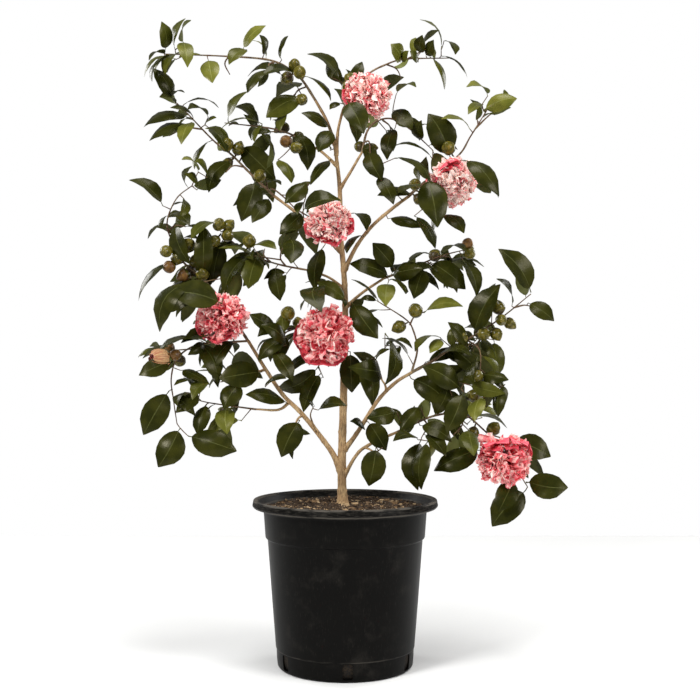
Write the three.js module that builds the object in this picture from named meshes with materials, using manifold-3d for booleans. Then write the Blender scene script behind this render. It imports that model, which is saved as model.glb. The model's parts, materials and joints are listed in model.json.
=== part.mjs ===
// A camellia trained flat as a fan, in its round growing pot.
//
// Millimetres, +Z up. The origin is the centre of the pot's flat underside, +X runs to the
// right of the fan seen from its front, and +Y goes back. Bare wood is the trunk and its boughs.
// Each leafy mass is one solid that grows on from the tip of a bough, or from the trunk: a stem,
// its side shoots and twigs, and the leaves, buds and blossom fused to them. A seeded rule sets
// them out, and leaves out whatever would not stay in the mass's own space.

import * as THREE from 'three';
import { mergeVertices } from 'three/addons/utils/BufferGeometryUtils.js';
import Module from 'manifold-3d';

const wasm = await Module();
wasm.setup();

const vec = (x, y, z) => new THREE.Vector3(x, y, z);
const fromArray = (p) => vec(p[0], p[1], p[2]);
const UP = vec(0, 0, 1);
const BACK = vec(0, 1, 0);
const RIGHT = vec(1, 0, 0);

// A heading with more of the Y direction than this is steep, so +X guides its cross section.
const STEEP = 0.9;

// Fit between pieces that touch.
const CLEARANCE = 0.3;

// The pot, from its foot to its rim.
const POT = {
  footRadius: 120, footCorner: 6, floor: 4, wall: 2.5, sides: 32,
  body: [[121.5, 18], [123, 34], [131, 133], [137.8, 226], [141.7, 228.5], [145, 276]],
  insideOf: [0, 2, 3, 5], footInset: 2,
  rim: [[148, 279], [162, 281], [165, 284.5], [163, 295], [157, 295], [149, 284]],
};
const SLOT = { count: 6, width: 18, bottom: 5, top: 32, inner: 105, outer: 132, firstAngle: -88 };
const SOIL = { top: 283.7, flatRadius: 100, edgeDrop: 4 };

// Bare wood. A route's first point is drawn to the middle line of the limb that it leaves, the
// rest are the places that its own middle line runs through, and radius is that at its two ends.
const GROUND = SOIL.top + CLEARANCE;
const TRUNK_FLARE = { extra: 3.6, height: 13, rings: [0.3, 0.65] };
const LIMBS = [
  { name: 'trunk', radius: [8, 3.2],
    route: [[-5, 13, GROUND], [-6, 20, 360], [-3, 30, 480], [0, 40, 650], [-7, 48, 760],
      [-10, 54, 855], [-19, 60, 938]] },
  { name: 'left_leader', from: 'trunk', radius: [3.2, 2.5],
    route: [[-19, 60, 938], [-33, 60, 980], [-54, 58, 1018]] },
  { name: 'right_leader', from: 'trunk', radius: [3, 2.4],
    route: [[-16, 58, 915], [-13, 61, 965], [-4, 60, 1002]] },
  { name: 'crown_left_bough', from: 'trunk', radius: [2.6, 2.1],
    route: [[-14, 58, 898], [-43, 61, 925], [-68, 63, 940]] },
  { name: 'crown_right_bough', from: 'trunk', radius: [2.8, 2.2],
    route: [[-10, 54, 855], [12, 56, 891], [31, 57, 924]] },
  { name: 'upper_left_bough', from: 'trunk', radius: [3.4, 2.5],
    route: [[-6, 47, 736], [-37, 50, 767], [-88, 54, 811], [-130, 56, 843]] },
  { name: 'upper_right_bough', from: 'trunk', radius: [3.8, 2.8],
    route: [[-3, 45, 706], [20, 46, 749], [49, 48, 787], [87, 50, 820], [115, 50, 841]] },
  { name: 'middle_left_bough', from: 'trunk', radius: [2.4, 1.9],
    route: [[-1, 41, 672], [-28, 42, 692], [-62, 44, 705]] },
  { name: 'middle_right_bough', from: 'trunk', radius: [2.9, 2.2],
    route: [[0, 39, 636], [30, 40, 664], [70, 42, 691]] },
  { name: 'lower_left_bough', from: 'trunk', radius: [5.2, 2.8],
    route: [[-6, 19, 342], [-27, 21, 381], [-76, 25, 443], [-112, 28, 479], [-141, 31, 521],
      [-176, 35, 577]] },
  { name: 'low_side_bough', from: 'lower_left_bough', radius: [2.4, 1.7],
    route: [[-98, 26, 464], [-120, 18, 453], [-160, 10, 454]] },
  { name: 'knot_spur', from: 'lower_left_bough', radius: [1.9, 1.5],
    route: [[-143, 31, 524], [-158, 24, 521], [-176, 16, 515]] },
  { name: 'hanging_spur', from: 'lower_left_bough', radius: [1.9, 1.5],
    route: [[-76, 25, 443], [-84, 12, 438], [-88, 0, 430]] },
  { name: 'rising_spur', from: 'lower_left_bough', radius: [1.9, 1.5],
    route: [[-50, 23, 412], [-54, 11, 420], [-58, 0, 430]] },
  { name: 'lower_right_bough', from: 'trunk', radius: [4.4, 2.8],
    route: [[-5, 22, 377], [18, 22, 406], [59, 25, 469], [90, 27, 501], [120, 28, 520]] },
  { name: 'inner_spur', from: 'lower_right_bough', radius: [1.9, 1.5],
    route: [[76, 26, 488], [72, 17, 497], [66, 10, 506]] },
  { name: 'lowest_right_bough', from: 'trunk', radius: [3.5, 2.3],
    route: [[-5, 17, 328], [18, 12, 369], [40, 10, 389], [92, 8, 413]] },
  { name: 'foot_spur', from: 'lowest_right_bough', radius: [1.8, 1.4],
    route: [[34, 10, 385], [42, 0, 384], [50, -10, 380]] },
];

// Leafy masses. The stem's first point is drawn to the tip of the limb that carries it. A shoot
// leaves the stem at a share of its length and ends at a place. Reach holds the tips of the
// leaves that give the crown its outline. Buds sit in groups: a share of the stem, and how many.
const MASSES = [
  { name: 'foot_leaves', from: 'foot_spur', seed: 32, radius: [1.4, 1],
    stem: [[50, -10, 380], [56, -16, 380], [66, -20, 388]],
    shoots: [],
    reach: [[45, -15, 322], [96, -10, 392], [40, -5, 425], [75, 0, 425]],
    buds: [] },
  { name: 'inner_right_leaves', from: 'inner_spur', seed: 30, radius: [1.5, 1],
    stem: [[66, 10, 506], [62, 4, 520], [50, 0, 545]],
    shoots: [],
    reach: [[30, -5, 540], [40, 0, 462], [85, 0, 480], [60, 5, 568]],
    buds: [] },
  { name: 'low_hanging_leaves', from: 'hanging_spur', seed: 26, radius: [1.5, 1],
    stem: [[-88, 0, 430], [-92, -8, 418], [-97, -14, 405]],
    shoots: [],
    reach: [[-118, -10, 368], [-96, -20, 373], [-62, -5, 410]],
    buds: [] },
  { name: 'low_rising_leaves', from: 'rising_spur', seed: 27, radius: [1.5, 1],
    stem: [[-58, 0, 430], [-62, -6, 445], [-56, -12, 460]],
    shoots: [],
    reach: [[-42, -10, 522], [0, -10, 468], [-75, -5, 475]],
    buds: [] },
  { name: 'left_knot_leaves', from: 'knot_spur', seed: 24, radius: [1.5, 1],
    stem: [[-176, 16, 515], [-200, 5, 508], [-222, -4, 503]],
    shoots: [],
    reach: [[-268, -5, 545], [-228, -15, 458], [-165, 5, 545], [-282, 10, 520]],
    buds: [] },
  { name: 'low_side_leaves', from: 'low_side_bough', seed: 25, radius: [1.7, 1],
    stem: [[-160, 10, 454], [-203, 6, 460], [-243, 4, 466], [-268, 2, 472]],
    shoots: [[0.45, [-225, 40, 440]]],
    reach: [[-312, 0, 450], [-268, -15, 390], [-208, 5, 412], [-110, 5, 468], [-285, 15, 505]],
    buds: [] },
  { name: 'heart_left_leaves', from: 'trunk', seed: 19, radius: [1.9, 1],
    stem: [[0, 40, 650], [-25, 25, 658], [-52, 10, 668]],
    shoots: [],
    reach: [[-50, 0, 735], [0, 5, 640], [-70, 25, 640], [-78, 5, 760]],
    buds: [[1, 1]] },
  { name: 'heart_right_leaves', from: 'trunk', seed: 20, radius: [1.9, 1],
    stem: [[0, 38, 612], [14, 22, 622], [30, 5, 612]],
    shoots: [],
    reach: [[55, 0, 585], [35, 20, 655]],
    buds: [] },
  { name: 'top_left_leaves', from: 'left_leader', seed: 11, radius: [2.5, 1.1],
    stem: [[-54, 58, 1018], [-79, 56, 1056], [-103, 54, 1076], [-141, 53, 1092], [-220, 51, 1098],
      [-330, 47, 1101]],
    shoots: [[0.1, [-100, 80, 1010]], [0.62, [-215, 90, 1075]], [0.35, [-130, 20, 1060]]],
    reach: [[-145, 50, 1160], [-335, 50, 1160], [-295, 45, 1170], [-280, 60, 1168],
      [-360, 30, 1060], [-245, 20, 1055], [-105, 60, 1140], [-30, 30, 1022], [-42, 15, 950],
      [-85, 25, 968]],
    buds: [[0.22, 2]] },
  { name: 'top_right_leaves', from: 'right_leader', seed: 12, radius: [2.4, 1],
    stem: [[-4, 60, 1002], [16, 64, 1038], [42, 66, 1069], [73, 62, 1085], [110, 56, 1094],
      [195, 52, 1095]],
    shoots: [[0.12, [-25, 45, 1058]], [0.66, [150, 60, 1122]], [0.5, [105, 100, 1070]]],
    reach: [[142, 50, 1172], [90, 45, 1132], [185, 30, 1045], [228, 50, 1062], [-65, 40, 1105],
      [205, 60, 1128], [135, 90, 1045]],
    bloom: { at: [39, 4, 1016], radius: 50, facing: [0.25, -0.9, 0.3] },
    buds: [[0.14, 2]] },
  { name: 'crown_left_leaves', from: 'crown_left_bough', seed: 13, radius: [2.1, 1],
    stem: [[-68, 63, 940], [-102, 64, 959], [-142, 65, 970], [-222, 64, 979]],
    shoots: [[0.2, [-100, 30, 925]], [0.55, [-165, 100, 985]]],
    reach: [[-190, 50, 1035], [-65, 20, 905], [-165, 40, 940], [-140, 50, 1000]],
    buds: [[0.12, 2], [0.3, 1]] },
  { name: 'crown_right_leaves', from: 'crown_right_bough', seed: 14, radius: [2.2, 1],
    stem: [[31, 57, 924], [40, 56, 961], [58, 54, 980], [86, 53, 984], [118, 51, 965],
      [160, 46, 925]],
    shoots: [[0.1, [45, 20, 910]], [0.4, [85, 90, 960]]],
    reach: [[135, 30, 1040], [35, 20, 850], [100, 40, 860], [150, 30, 880], [0, 60, 895]],
    buds: [[0.05, 2]] },
  { name: 'upper_left_leaves', from: 'upper_left_bough', seed: 15, radius: [2.5, 1],
    stem: [[-130, 56, 843], [-175, 59, 886], [-210, 61, 921], [-243, 63, 947], [-296, 62, 1002],
      [-318, 60, 1022]],
    shoots: [[0.05, [-75, 30, 800]], [0.3, [-215, 20, 880]], [0.7, [-320, 40, 950]],
      [0.35, [-150, 100, 925]]],
    reach: [[-350, 50, 1085], [-372, 35, 975], [-360, 60, 940], [-130, 25, 872], [-190, 20, 798],
      [-155, 40, 790], [-230, 60, 1012], [-285, 60, 895], [-250, 20, 1000], [-50, 25, 852]],
    bloom: { at: [-29, -6, 788], radius: 48, facing: [-0.15, -0.85, 0.4] },
    buds: [[0.02, 1], [0.4, 2]] },
  { name: 'upper_right_leaves', from: 'upper_right_bough', seed: 16, radius: [2.8, 1],
    stem: [[115, 50, 841], [138, 52, 862], [206, 56, 916], [230, 56, 953], [262, 54, 1004]],
    shoots: [[0.08, [140, 20, 815]], [0.45, [228, 80, 880]], [0.8, [292, 50, 1010]]],
    reach: [[265, 25, 842], [315, 50, 1025], [222, 40, 1052], [225, 50, 992], [165, 10, 782],
      [150, 40, 992], [95, 20, 770], [275, 70, 985], [75, 15, 872],
      [58, 10, 838]],
    bloom: { at: [191, 0, 857], radius: 51, facing: [0.45, -0.7, -0.55] },
    buds: [[0.05, 1], [0.4, 1]] },
  { name: 'middle_left_leaves', from: 'middle_left_bough', seed: 77, radius: [1.9, 1],
    stem: [[-62, 44, 705], [-122, 45, 717], [-173, 46, 735], [-204, 46, 757], [-231, 44, 781]],
    shoots: [[0.25, [-115, 15, 740]], [0.5, [-165, 10, 705]], [0.4, [-150, 90, 750]]],
    reach: [[-262, 35, 845], [-225, 20, 682], [-172, 10, 668], [-118, 20, 648], [-95, 20, 775],
      [-275, 60, 780]],
    buds: [[0.72, 1], [1, 4]] },
  { name: 'middle_right_leaves', from: 'middle_right_bough', seed: 18, radius: [2.2, 1],
    stem: [[70, 42, 691], [118, 42, 709], [172, 40, 731], [219, 36, 743]],
    shoots: [[0.2, [115, 15, 690]], [0.7, [200, 90, 725]]],
    reach: [[12, 20, 728], [45, 30, 752], [132, 20, 655], [222, 10, 690], [255, 20, 668],
      [215, 50, 790], [165, 20, 755]],
    buds: [[0.62, 1], [1, 3]] },
  { name: 'centre_left_leaves', from: 'trunk', seed: 81, radius: [2.5, 1.1],
    stem: [[-1, 34, 560], [-42, 38, 582], [-87, 36, 598], [-120, 30, 602], [-158, 22, 612]],
    shoots: [[0.15, [-30, 30, 530]], [0.6, [-110, -5, 580]]],
    reach: [[-178, 15, 622], [-100, 10, 500], [10, -10, 487], [-150, 0, 560], [-120, 25, 640],
      [-60, 0, 520]],
    bloom: { at: [-35, -40, 586], radius: 57, facing: [0.05, -1, 0.05] },
    buds: [[0.55, 1]] },
  { name: 'left_leaves', from: 'lower_left_bough', seed: 52, radius: [2.6, 1.1],
    stem: [[-176, 35, 577], [-218, 42, 640], [-255, 44, 686], [-295, 46, 721], [-317, 48, 761],
      [-325, 48, 796], [-308, 50, 838], [-280, 50, 861]],
    shoots: [[0.2, [-215, 20, 690]], [0.42, [-290, 90, 690]], [0.72, [-290, 40, 785]]],
    reach: [[-392, 45, 873], [-380, 30, 655], [-330, 0, 590], [-345, 40, 795], [-280, 50, 905],
      [-185, 10, 640], [-225, 20, 745], [-240, 60, 860]],
    bloom: { at: [-219, -18, 618], radius: 50, facing: [-0.1, -0.9, 0.25] },
    buds: [[0.48, 3], [0.4, 2]] },
  { name: 'left_hanging_leaves', from: 'lower_left_bough', seed: 53, radius: [2.1, 1],
    stem: [[-176, 35, 577], [-217, 22, 574], [-267, 14, 569], [-300, 8, 546], [-310, 0, 510],
      [-305, -6, 471], [-298, -12, 430]],
    shoots: [[0.12, [-205, 60, 550]], [0.5, [-325, 50, 565]]],
    reach: [[-372, 40, 525], [-365, 10, 405], [-335, -15, 355], [-200, -20, 385], [-345, 20, 602],
      [-222, 0, 556]],
    bud: { at: [-328, -12, 545], radius: 20, facing: [-0.6, -0.6, 0.1] },
    buds: [[0.5, 2]] },
  { name: 'right_leaves', from: 'lower_right_bough', seed: 58, radius: [2.8, 1],
    stem: [[120, 28, 520], [160, 30, 542], [189, 31, 562], [220, 32, 579], [280, 32, 617],
      [336, 30, 662]],
    shoots: [[0.12, [190, 0, 478]], [0.45, [240, -5, 520]], [0.55, [235, 85, 560]],
      [0.85, [345, 60, 640]]],
    reach: [[287, 30, 745], [382, 20, 612], [272, 15, 690], [240, 10, 690], [300, 45, 640],
      [205, -5, 475], [290, 0, 505], [275, -10, 435], [215, 15, 515], [150, 10, 455]],
    buds: [[0.55, 2], [0.75, 2], [0.4, 2]] },
  { name: 'right_rising_leaves', from: 'lower_right_bough', seed: 29, radius: [2, 1],
    stem: [[120, 28, 520], [130, 24, 561], [122, 20, 597], [108, 16, 616], [58, 14, 648]],
    shoots: [[0.55, [145, 15, 630]]],
    reach: [[92, 10, 655], [220, 15, 640], [55, 0, 560], [165, 20, 598], [28, 20, 655]],
    buds: [[0.6, 1]] },
  { name: 'lowest_right_leaves', from: 'lowest_right_bough', seed: 31, radius: [2.3, 1],
    stem: [[92, 8, 413], [143, 8, 437], [178, 8, 446], [214, 8, 444], [249, 6, 416],
      [277, 0, 386], [302, -10, 351], [322, -18, 318]],
    shoots: [[0.18, [135, -15, 405]], [0.4, [190, -25, 410]], [0.5, [205, 50, 470]]],
    reach: [[405, -10, 315], [260, -30, 247], [272, -20, 275], [370, -5, 370], [160, -20, 345],
      [122, -10, 312], [185, -15, 365], [135, -5, 465], [250, 10, 480], [80, -15, 458],
      [345, 20, 425]],
    bloom: { at: [276, -52, 367], radius: 54, facing: [0.05, -0.75, -0.6] },
    buds: [[0.52, 1]] },
];

// How foliage grows.
const LEAF = {
  shortest: 62, longest: 102, aimedLongest: 98, widthShare: 0.47, arch: 0.1, archSpread: 0.08,
  widthSpread: [0.9, 1.08], thickness: 2.4, sunk: 2, rootShare: 0.14, faceUp: 0.5, tumble: 0.5,
  reachShare: 0.56,
};
const GROWTH = {
  ringStep: 30, samplesPerRing: 4, bareLength: 16, nodeStep: 32, nodeSpread: [0.8, 1.2], turn: 2.4,
  retryTurn: 0.9, retryShrink: 0.06, spread: 0.95, endLeafSpread: 0.35, tries: 7, droop: 0.2,
  flatness: 0.8, backFacing: 0.35, behind: 0.3, inFront: -0.2,
  shootRadius: 1.7, rootSwell: 4, twigShare: 0.3, twigLength: [26, 56], twigRadius: [1.4, 1.2],
  twigSpread: 0.85, twigLeaves: 3, twigEndLeafSpread: 0.3,
  aimBack: 0.35, aimBackStep: 0.12, aimedForward: 0.8, aimedSize: [0.85, 1],
  stalkBack: 0.2, stalkDepth: 0.35,
};
const KEEP = {
  gap: 1.2, ownGap: 0.4, leafMargin: 0.8, bloomGap: 5, bloomView: 0.82,
  low: [-392, -135, 245], high: [410, 185, 1172], overPot: 306, potReach: 190,
};
// The eye that the crown's outline is measured from, and the depth that it is measured at.
const OUTLINE = { eyeDistance: 1960, eyeHeight: 528, depth: 50, inset: 6 };
const BUD = { radius: [7, 9], stalk: 9, spread: 1.2, swellsFrom: 0.6, retryTurn: 0.35 };
const BARK = { colour: 0x8f7f6a, roughness: 0.9 };
const FOLIAGE = { colour: 0x2f3f22, roughness: 0.35 };

// Repeatable random numbers from 0 to 1.
class Seeded {
  constructor(seed) {
    this.state = (seed * 2654435761) % 4294967296;
  }

  next() {
    this.state = (this.state * 1664525 + 1013904223) % 4294967296;
    return this.state / 4294967296;
  }

  between(low, high) {
    return low + (high - low) * this.next();
  }

  vector() {
    const x = this.between(-1, 1);
    const y = this.between(-1, 1);
    return vec(x, y, this.between(-1, 1));
  }
}

// A smooth line through points, as even samples a given step apart.
function smoothLine(points, step) {
  const curve = new THREE.CatmullRomCurve3(points, false, 'catmullrom', 0.5);
  const spans = points.length - 1;
  const line = [];
  for (let i = 0; i < spans; i += 1) {
    const pieces = Math.max(1, Math.round(points[i].distanceTo(points[i + 1]) / step));
    for (let j = 0; j < pieces; j += 1) line.push(curve.getPoint((i + j / pieces) / spans));
  }
  line.push(points[spans].clone());
  return line;
}

// A line that leaves a start along a heading and bends round to its end.
function bentLine(start, heading, end, step) {
  const chord = end.clone().sub(start);
  const reach = chord.length();
  const bend = heading.clone().add(chord.normalize()).normalize().multiplyScalar(reach * 0.5);
  const curve = new THREE.QuadraticBezierCurve3(start, start.clone().add(bend), end);
  return curve.getPoints(Math.max(2, Math.round(reach / step)));
}

// The same straight-sided line with more points on it.
function subdivided(line, pieces) {
  const fine = [];
  for (let i = 0; i < line.length - 1; i += 1) {
    for (let j = 0; j < pieces; j += 1) fine.push(line[i].clone().lerp(line[i + 1], j / pieces));
  }
  fine.push(line[line.length - 1].clone());
  return fine;
}

function lengthOf(line) {
  let length = 0;
  for (let i = 1; i < line.length; i += 1) length += line[i].distanceTo(line[i - 1]);
  return length;
}

// The place and heading at a distance along a line.
function along(line, distance) {
  let left = Math.max(0, distance);
  for (let i = 0; i < line.length - 1; i += 1) {
    const span = line[i].distanceTo(line[i + 1]);
    if (left <= span || i === line.length - 2) {
      const point = line[i].clone().lerp(line[i + 1], Math.min(1, left / span));
      return { point, heading: line[i + 1].clone().sub(line[i]).normalize() };
    }
    left -= span;
  }
  return null;
}

function nearestIndex(line, point) {
  let best = 0;
  line.forEach((p, i) => {
    if (p.distanceTo(point) < line[best].distanceTo(point)) best = i;
  });
  return best;
}

function headingAt(line, i) {
  const before = line[Math.max(0, i - 1)];
  const after = line[Math.min(line.length - 1, i + 1)];
  return after.clone().sub(before).normalize();
}

function perpendicular(direction, guide) {
  const part = guide.clone().addScaledVector(direction, -guide.dot(direction));
  return part.normalize();
}

function solidOf(positions, triangles) {
  return new wasm.Manifold(new wasm.Mesh({
    numProp: 3,
    vertProperties: new Float32Array(positions.flatMap((p) => [p.x, p.y, p.z])),
    triVerts: new Uint32Array(triangles.flat()),
  }));
}

function solidOfGeometry(geometry) {
  geometry.deleteAttribute('normal');
  geometry.deleteAttribute('uv');
  const merged = mergeVertices(geometry, 1e-4);
  return new wasm.Manifold(new wasm.Mesh({
    numProp: 3,
    vertProperties: new Float32Array(merged.attributes.position.array),
    triVerts: new Uint32Array(merged.index.array),
  }));
}

function joined(solids) {
  return solids.reduce((all, one) => all.add(one));
}

// The corners of rings round a line, with a radius at each of its points.
function tubeRings(line, radii, sides) {
  const corners = [];
  const start = headingAt(line, 0);
  let across = perpendicular(start, Math.abs(start.y) < STEEP ? BACK : RIGHT);
  line.forEach((centre, i) => {
    const heading = headingAt(line, i);
    across = perpendicular(heading, across);
    const third = heading.clone().cross(across);
    for (let j = 0; j < sides; j += 1) {
      const angle = (2 * Math.PI * j) / sides;
      corners.push(centre.clone()
        .addScaledVector(across, radii[i] * Math.cos(angle))
        .addScaledVector(third, radii[i] * Math.sin(angle)));
    }
  });
  return corners;
}

// The walls between rings, and the cap on the last one, counted from the first ring's corner.
function tubeFaces(first, rings, sides) {
  const faces = [];
  for (let i = 0; i < rings - 1; i += 1) {
    for (let j = 0; j < sides; j += 1) {
      const a = first + i * sides + j;
      const b = first + i * sides + ((j + 1) % sides);
      faces.push([a, b, b + sides], [a, b + sides, a + sides]);
    }
  }
  const last = first + (rings - 1) * sides;
  for (let j = 1; j < sides - 1; j += 1) faces.push([last, last + j, last + j + 1]);
  return faces;
}

// A closed many-sided tube, cut off square at both ends.
function taperedTube(line, radii, sides) {
  const faces = tubeFaces(0, line.length, sides);
  for (let j = 1; j < sides - 1; j += 1) faces.push([0, j + 1, j]);
  return solidOf(tubeRings(line, radii, sides), faces);
}

// A tube that widens from a point inside the stem that carries it.
function rootedTube(line, radius, sides) {
  const swell = line[0].clone().lerp(line[1], GROWTH.rootSwell / line[0].distanceTo(line[1]));
  const rings = [swell, ...line.slice(1)];
  const faces = tubeFaces(1, rings.length, sides);
  for (let j = 0; j < sides; j += 1) faces.push([0, 1 + ((j + 1) % sides), 1 + j]);
  return solidOf([line[0], ...tubeRings(rings, evenTaper(rings, radius), sides)], faces);
}

function evenTaper(line, [first, last]) {
  return line.map((_, i) => first + (last - first) * (i / (line.length - 1)));
}

// Bare wood: every limb's middle line, radii and solid.
const WOOD_STEP = 42;
const FINE_PIECES = 6;
const TRUNK_SIDES = 9;
const BOUGH_SIDES = 6;

function limbRadii(limb, line) {
  const radii = evenTaper(line, limb.radius);
  if (limb.name !== 'trunk') return radii;
  return radii.map((r, i) => {
    const height = line[i].z - GROUND;
    return r + TRUNK_FLARE.extra * Math.exp(-height / TRUNK_FLARE.height);
  });
}

function trunkLine(points) {
  const line = smoothLine(points, WOOD_STEP);
  const foot = line[0];
  const flareRings = TRUNK_FLARE.rings.map((share) => foot.clone().lerp(line[1], share));
  return [foot, ...flareRings, ...line.slice(1)];
}

function layOutLimbs() {
  const limbs = new Map();
  for (const spec of LIMBS) {
    const points = spec.route.map(fromArray);
    if (spec.from) {
      const parent = limbs.get(spec.from).fine;
      points[0] = parent[nearestIndex(parent, points[0])].clone();
    }
    const line = spec.from ? smoothLine(points, WOOD_STEP) : trunkLine(points);
    const fine = subdivided(line, FINE_PIECES);
    limbs.set(spec.name, { ...spec, points, line, fine });
  }
  return limbs;
}

function limbSolid(limb, grow) {
  const radii = limbRadii(limb, limb.line).map((r) => r + grow);
  const sides = limb.from ? BOUGH_SIDES : TRUNK_SIDES;
  const line = limb.line.map((p) => p.clone());
  if (!limb.from) return levelFoot(taperedTube(line, radii, sides), grow);
  const end = line[line.length - 1];
  end.addScaledVector(headingAt(line, line.length - 1), grow);
  return taperedTube(line, radii, sides);
}

const GROUND_SLAB = { width: 60, depth: 20 };

// The trunk is cut level at the ground.
function levelFoot(solid, grow) {
  if (grow > 0) return solid;
  const { width, depth } = GROUND_SLAB;
  const slab = new THREE.BoxGeometry(width, width, depth);
  slab.translate(LIMBS[0].route[0][0], LIMBS[0].route[0][1], GROUND - depth / 2);
  return solid.subtract(solidOfGeometry(slab));
}

// A leaf, from its root on a twig to its tip: five points of its rim and a keel below, arched
// along its length. Each point is a share of its length and a share of its width to one side.
const LEAF_RIM = [[0, 0], [0.32, 0.5], [0.69, 0.45], [1, 0], [0.48, -0.52]];
const LEAF_KEEL = { along: 0.45, liftAt: 0.3 };
const LEAF_TIP = 3;
const LEAF_BOTTOM = 5;

function leafPoints(leaf) {
  const chord = leaf.tip.clone().sub(leaf.root);
  const side = chord.clone().normalize().cross(leaf.normal);
  const archAt = (share) => leaf.arch * 4 * share * (1 - share);
  const at = (share, across, lift) => leaf.root.clone()
    .addScaledVector(chord, share)
    .addScaledVector(side, across * leaf.width)
    .addScaledVector(leaf.normal, lift);
  const rim = LEAF_RIM.map(([share, across]) => at(share, across, archAt(share)));
  return [...rim, at(LEAF_KEEL.along, 0, archAt(LEAF_KEEL.liftAt) - LEAF.thickness)];
}

const LEAF_FACES = [
  [0, 1, 4], [1, 2, 4], [2, 3, 4],
  ...LEAF_RIM.map((_, i) => [LEAF_BOTTOM, (i + 1) % LEAF_RIM.length, i]),
];

function leafSolid(leaf) {
  return solidOf(leafPoints(leaf), LEAF_FACES);
}

function makeLeaf(rng, root, tip, outward) {
  const chord = tip.clone().sub(root);
  const length = chord.length();
  const wanted = UP.clone().multiplyScalar(LEAF.faceUp).addScaledVector(BACK, outward)
    .addScaledVector(rng.vector(), LEAF.tumble);
  const normal = perpendicular(chord.normalize(), wanted);
  return {
    root, tip, normal, middle: root.clone().lerp(tip, 0.5), reach: length * LEAF.reachShare + KEEP.leafMargin,
    width: length * LEAF.widthShare * rng.between(...LEAF.widthSpread),
    arch: length * (LEAF.arch + LEAF.archSpread * rng.next()),
  };
}

// Places on a leaf that are tested against what is round it.
function leafProbes(leaf) {
  const p = leafPoints(leaf);
  const between = (a, b, share) => p[a].clone().lerp(p[b], share);
  return [p[1], p[2], p[3], p[4], p[5], between(1, 2, 0.5), between(5, 3, 0.5), between(0, 5, 0.6),
    between(2, 3, 0.5), between(3, 4, 0.4), between(4, 0, 0.4)];
}

// A leaf's rim and faces, a margin outside the leaf itself, from a share of its length onwards.
function leafShell(leaf, rootShare) {
  const points = leafPoints(leaf);
  points[0].lerp(points[LEAF_TIP], rootShare);
  const grown = points.map((p) => {
    const outwards = p.clone().sub(points[LEAF_BOTTOM]).setLength(KEEP.leafMargin);
    return p.clone().add(outwards);
  });
  return {
    rim: LEAF_RIM.map((_, i) => new THREE.Line3(grown[i], grown[(i + 1) % LEAF_RIM.length])),
    faces: LEAF_FACES.map((face) => face.map((i) => grown[i])),
  };
}

function pierces(edge, [a, b, c]) {
  const heading = edge.end.clone().sub(edge.start);
  const length = heading.length();
  const ray = new THREE.Ray(edge.start, heading.normalize());
  const hit = ray.intersectTriangle(a, b, c, false, vec(0, 0, 0));
  return hit !== null && hit.distanceTo(edge.start) <= length;
}

function shellsCross(one, other) {
  return one.rim.some((edge) => other.faces.some((face) => pierces(edge, face)))
    || other.rim.some((edge) => one.faces.some((face) => pierces(edge, face)));
}

// A rod is a straight piece of stem: its middle line, its radius and the mass that it belongs to.
function rodTouches(rod, shell, margin) {
  const limit = (rod.radius + margin) ** 2;
  const onFace = vec(0, 0, 0);
  return shell.rim.some((edge) => edge.distanceSqToLine3(rod.line) < limit)
    || shell.faces.some(([a, b, c]) => {
      new THREE.Triangle(a, b, c).closestPointToPoint(rod.line.end, onFace);
      return onFace.distanceToSquared(rod.line.end) < limit || pierces(rod.line, [a, b, c]);
    });
}

function rodNearLeaf(rod, leaf) {
  const nearest = rod.line.closestPointToPoint(leaf.middle, true, vec(0, 0, 0));
  return nearest.distanceTo(leaf.middle) < leaf.reach + rod.radius;
}

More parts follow.
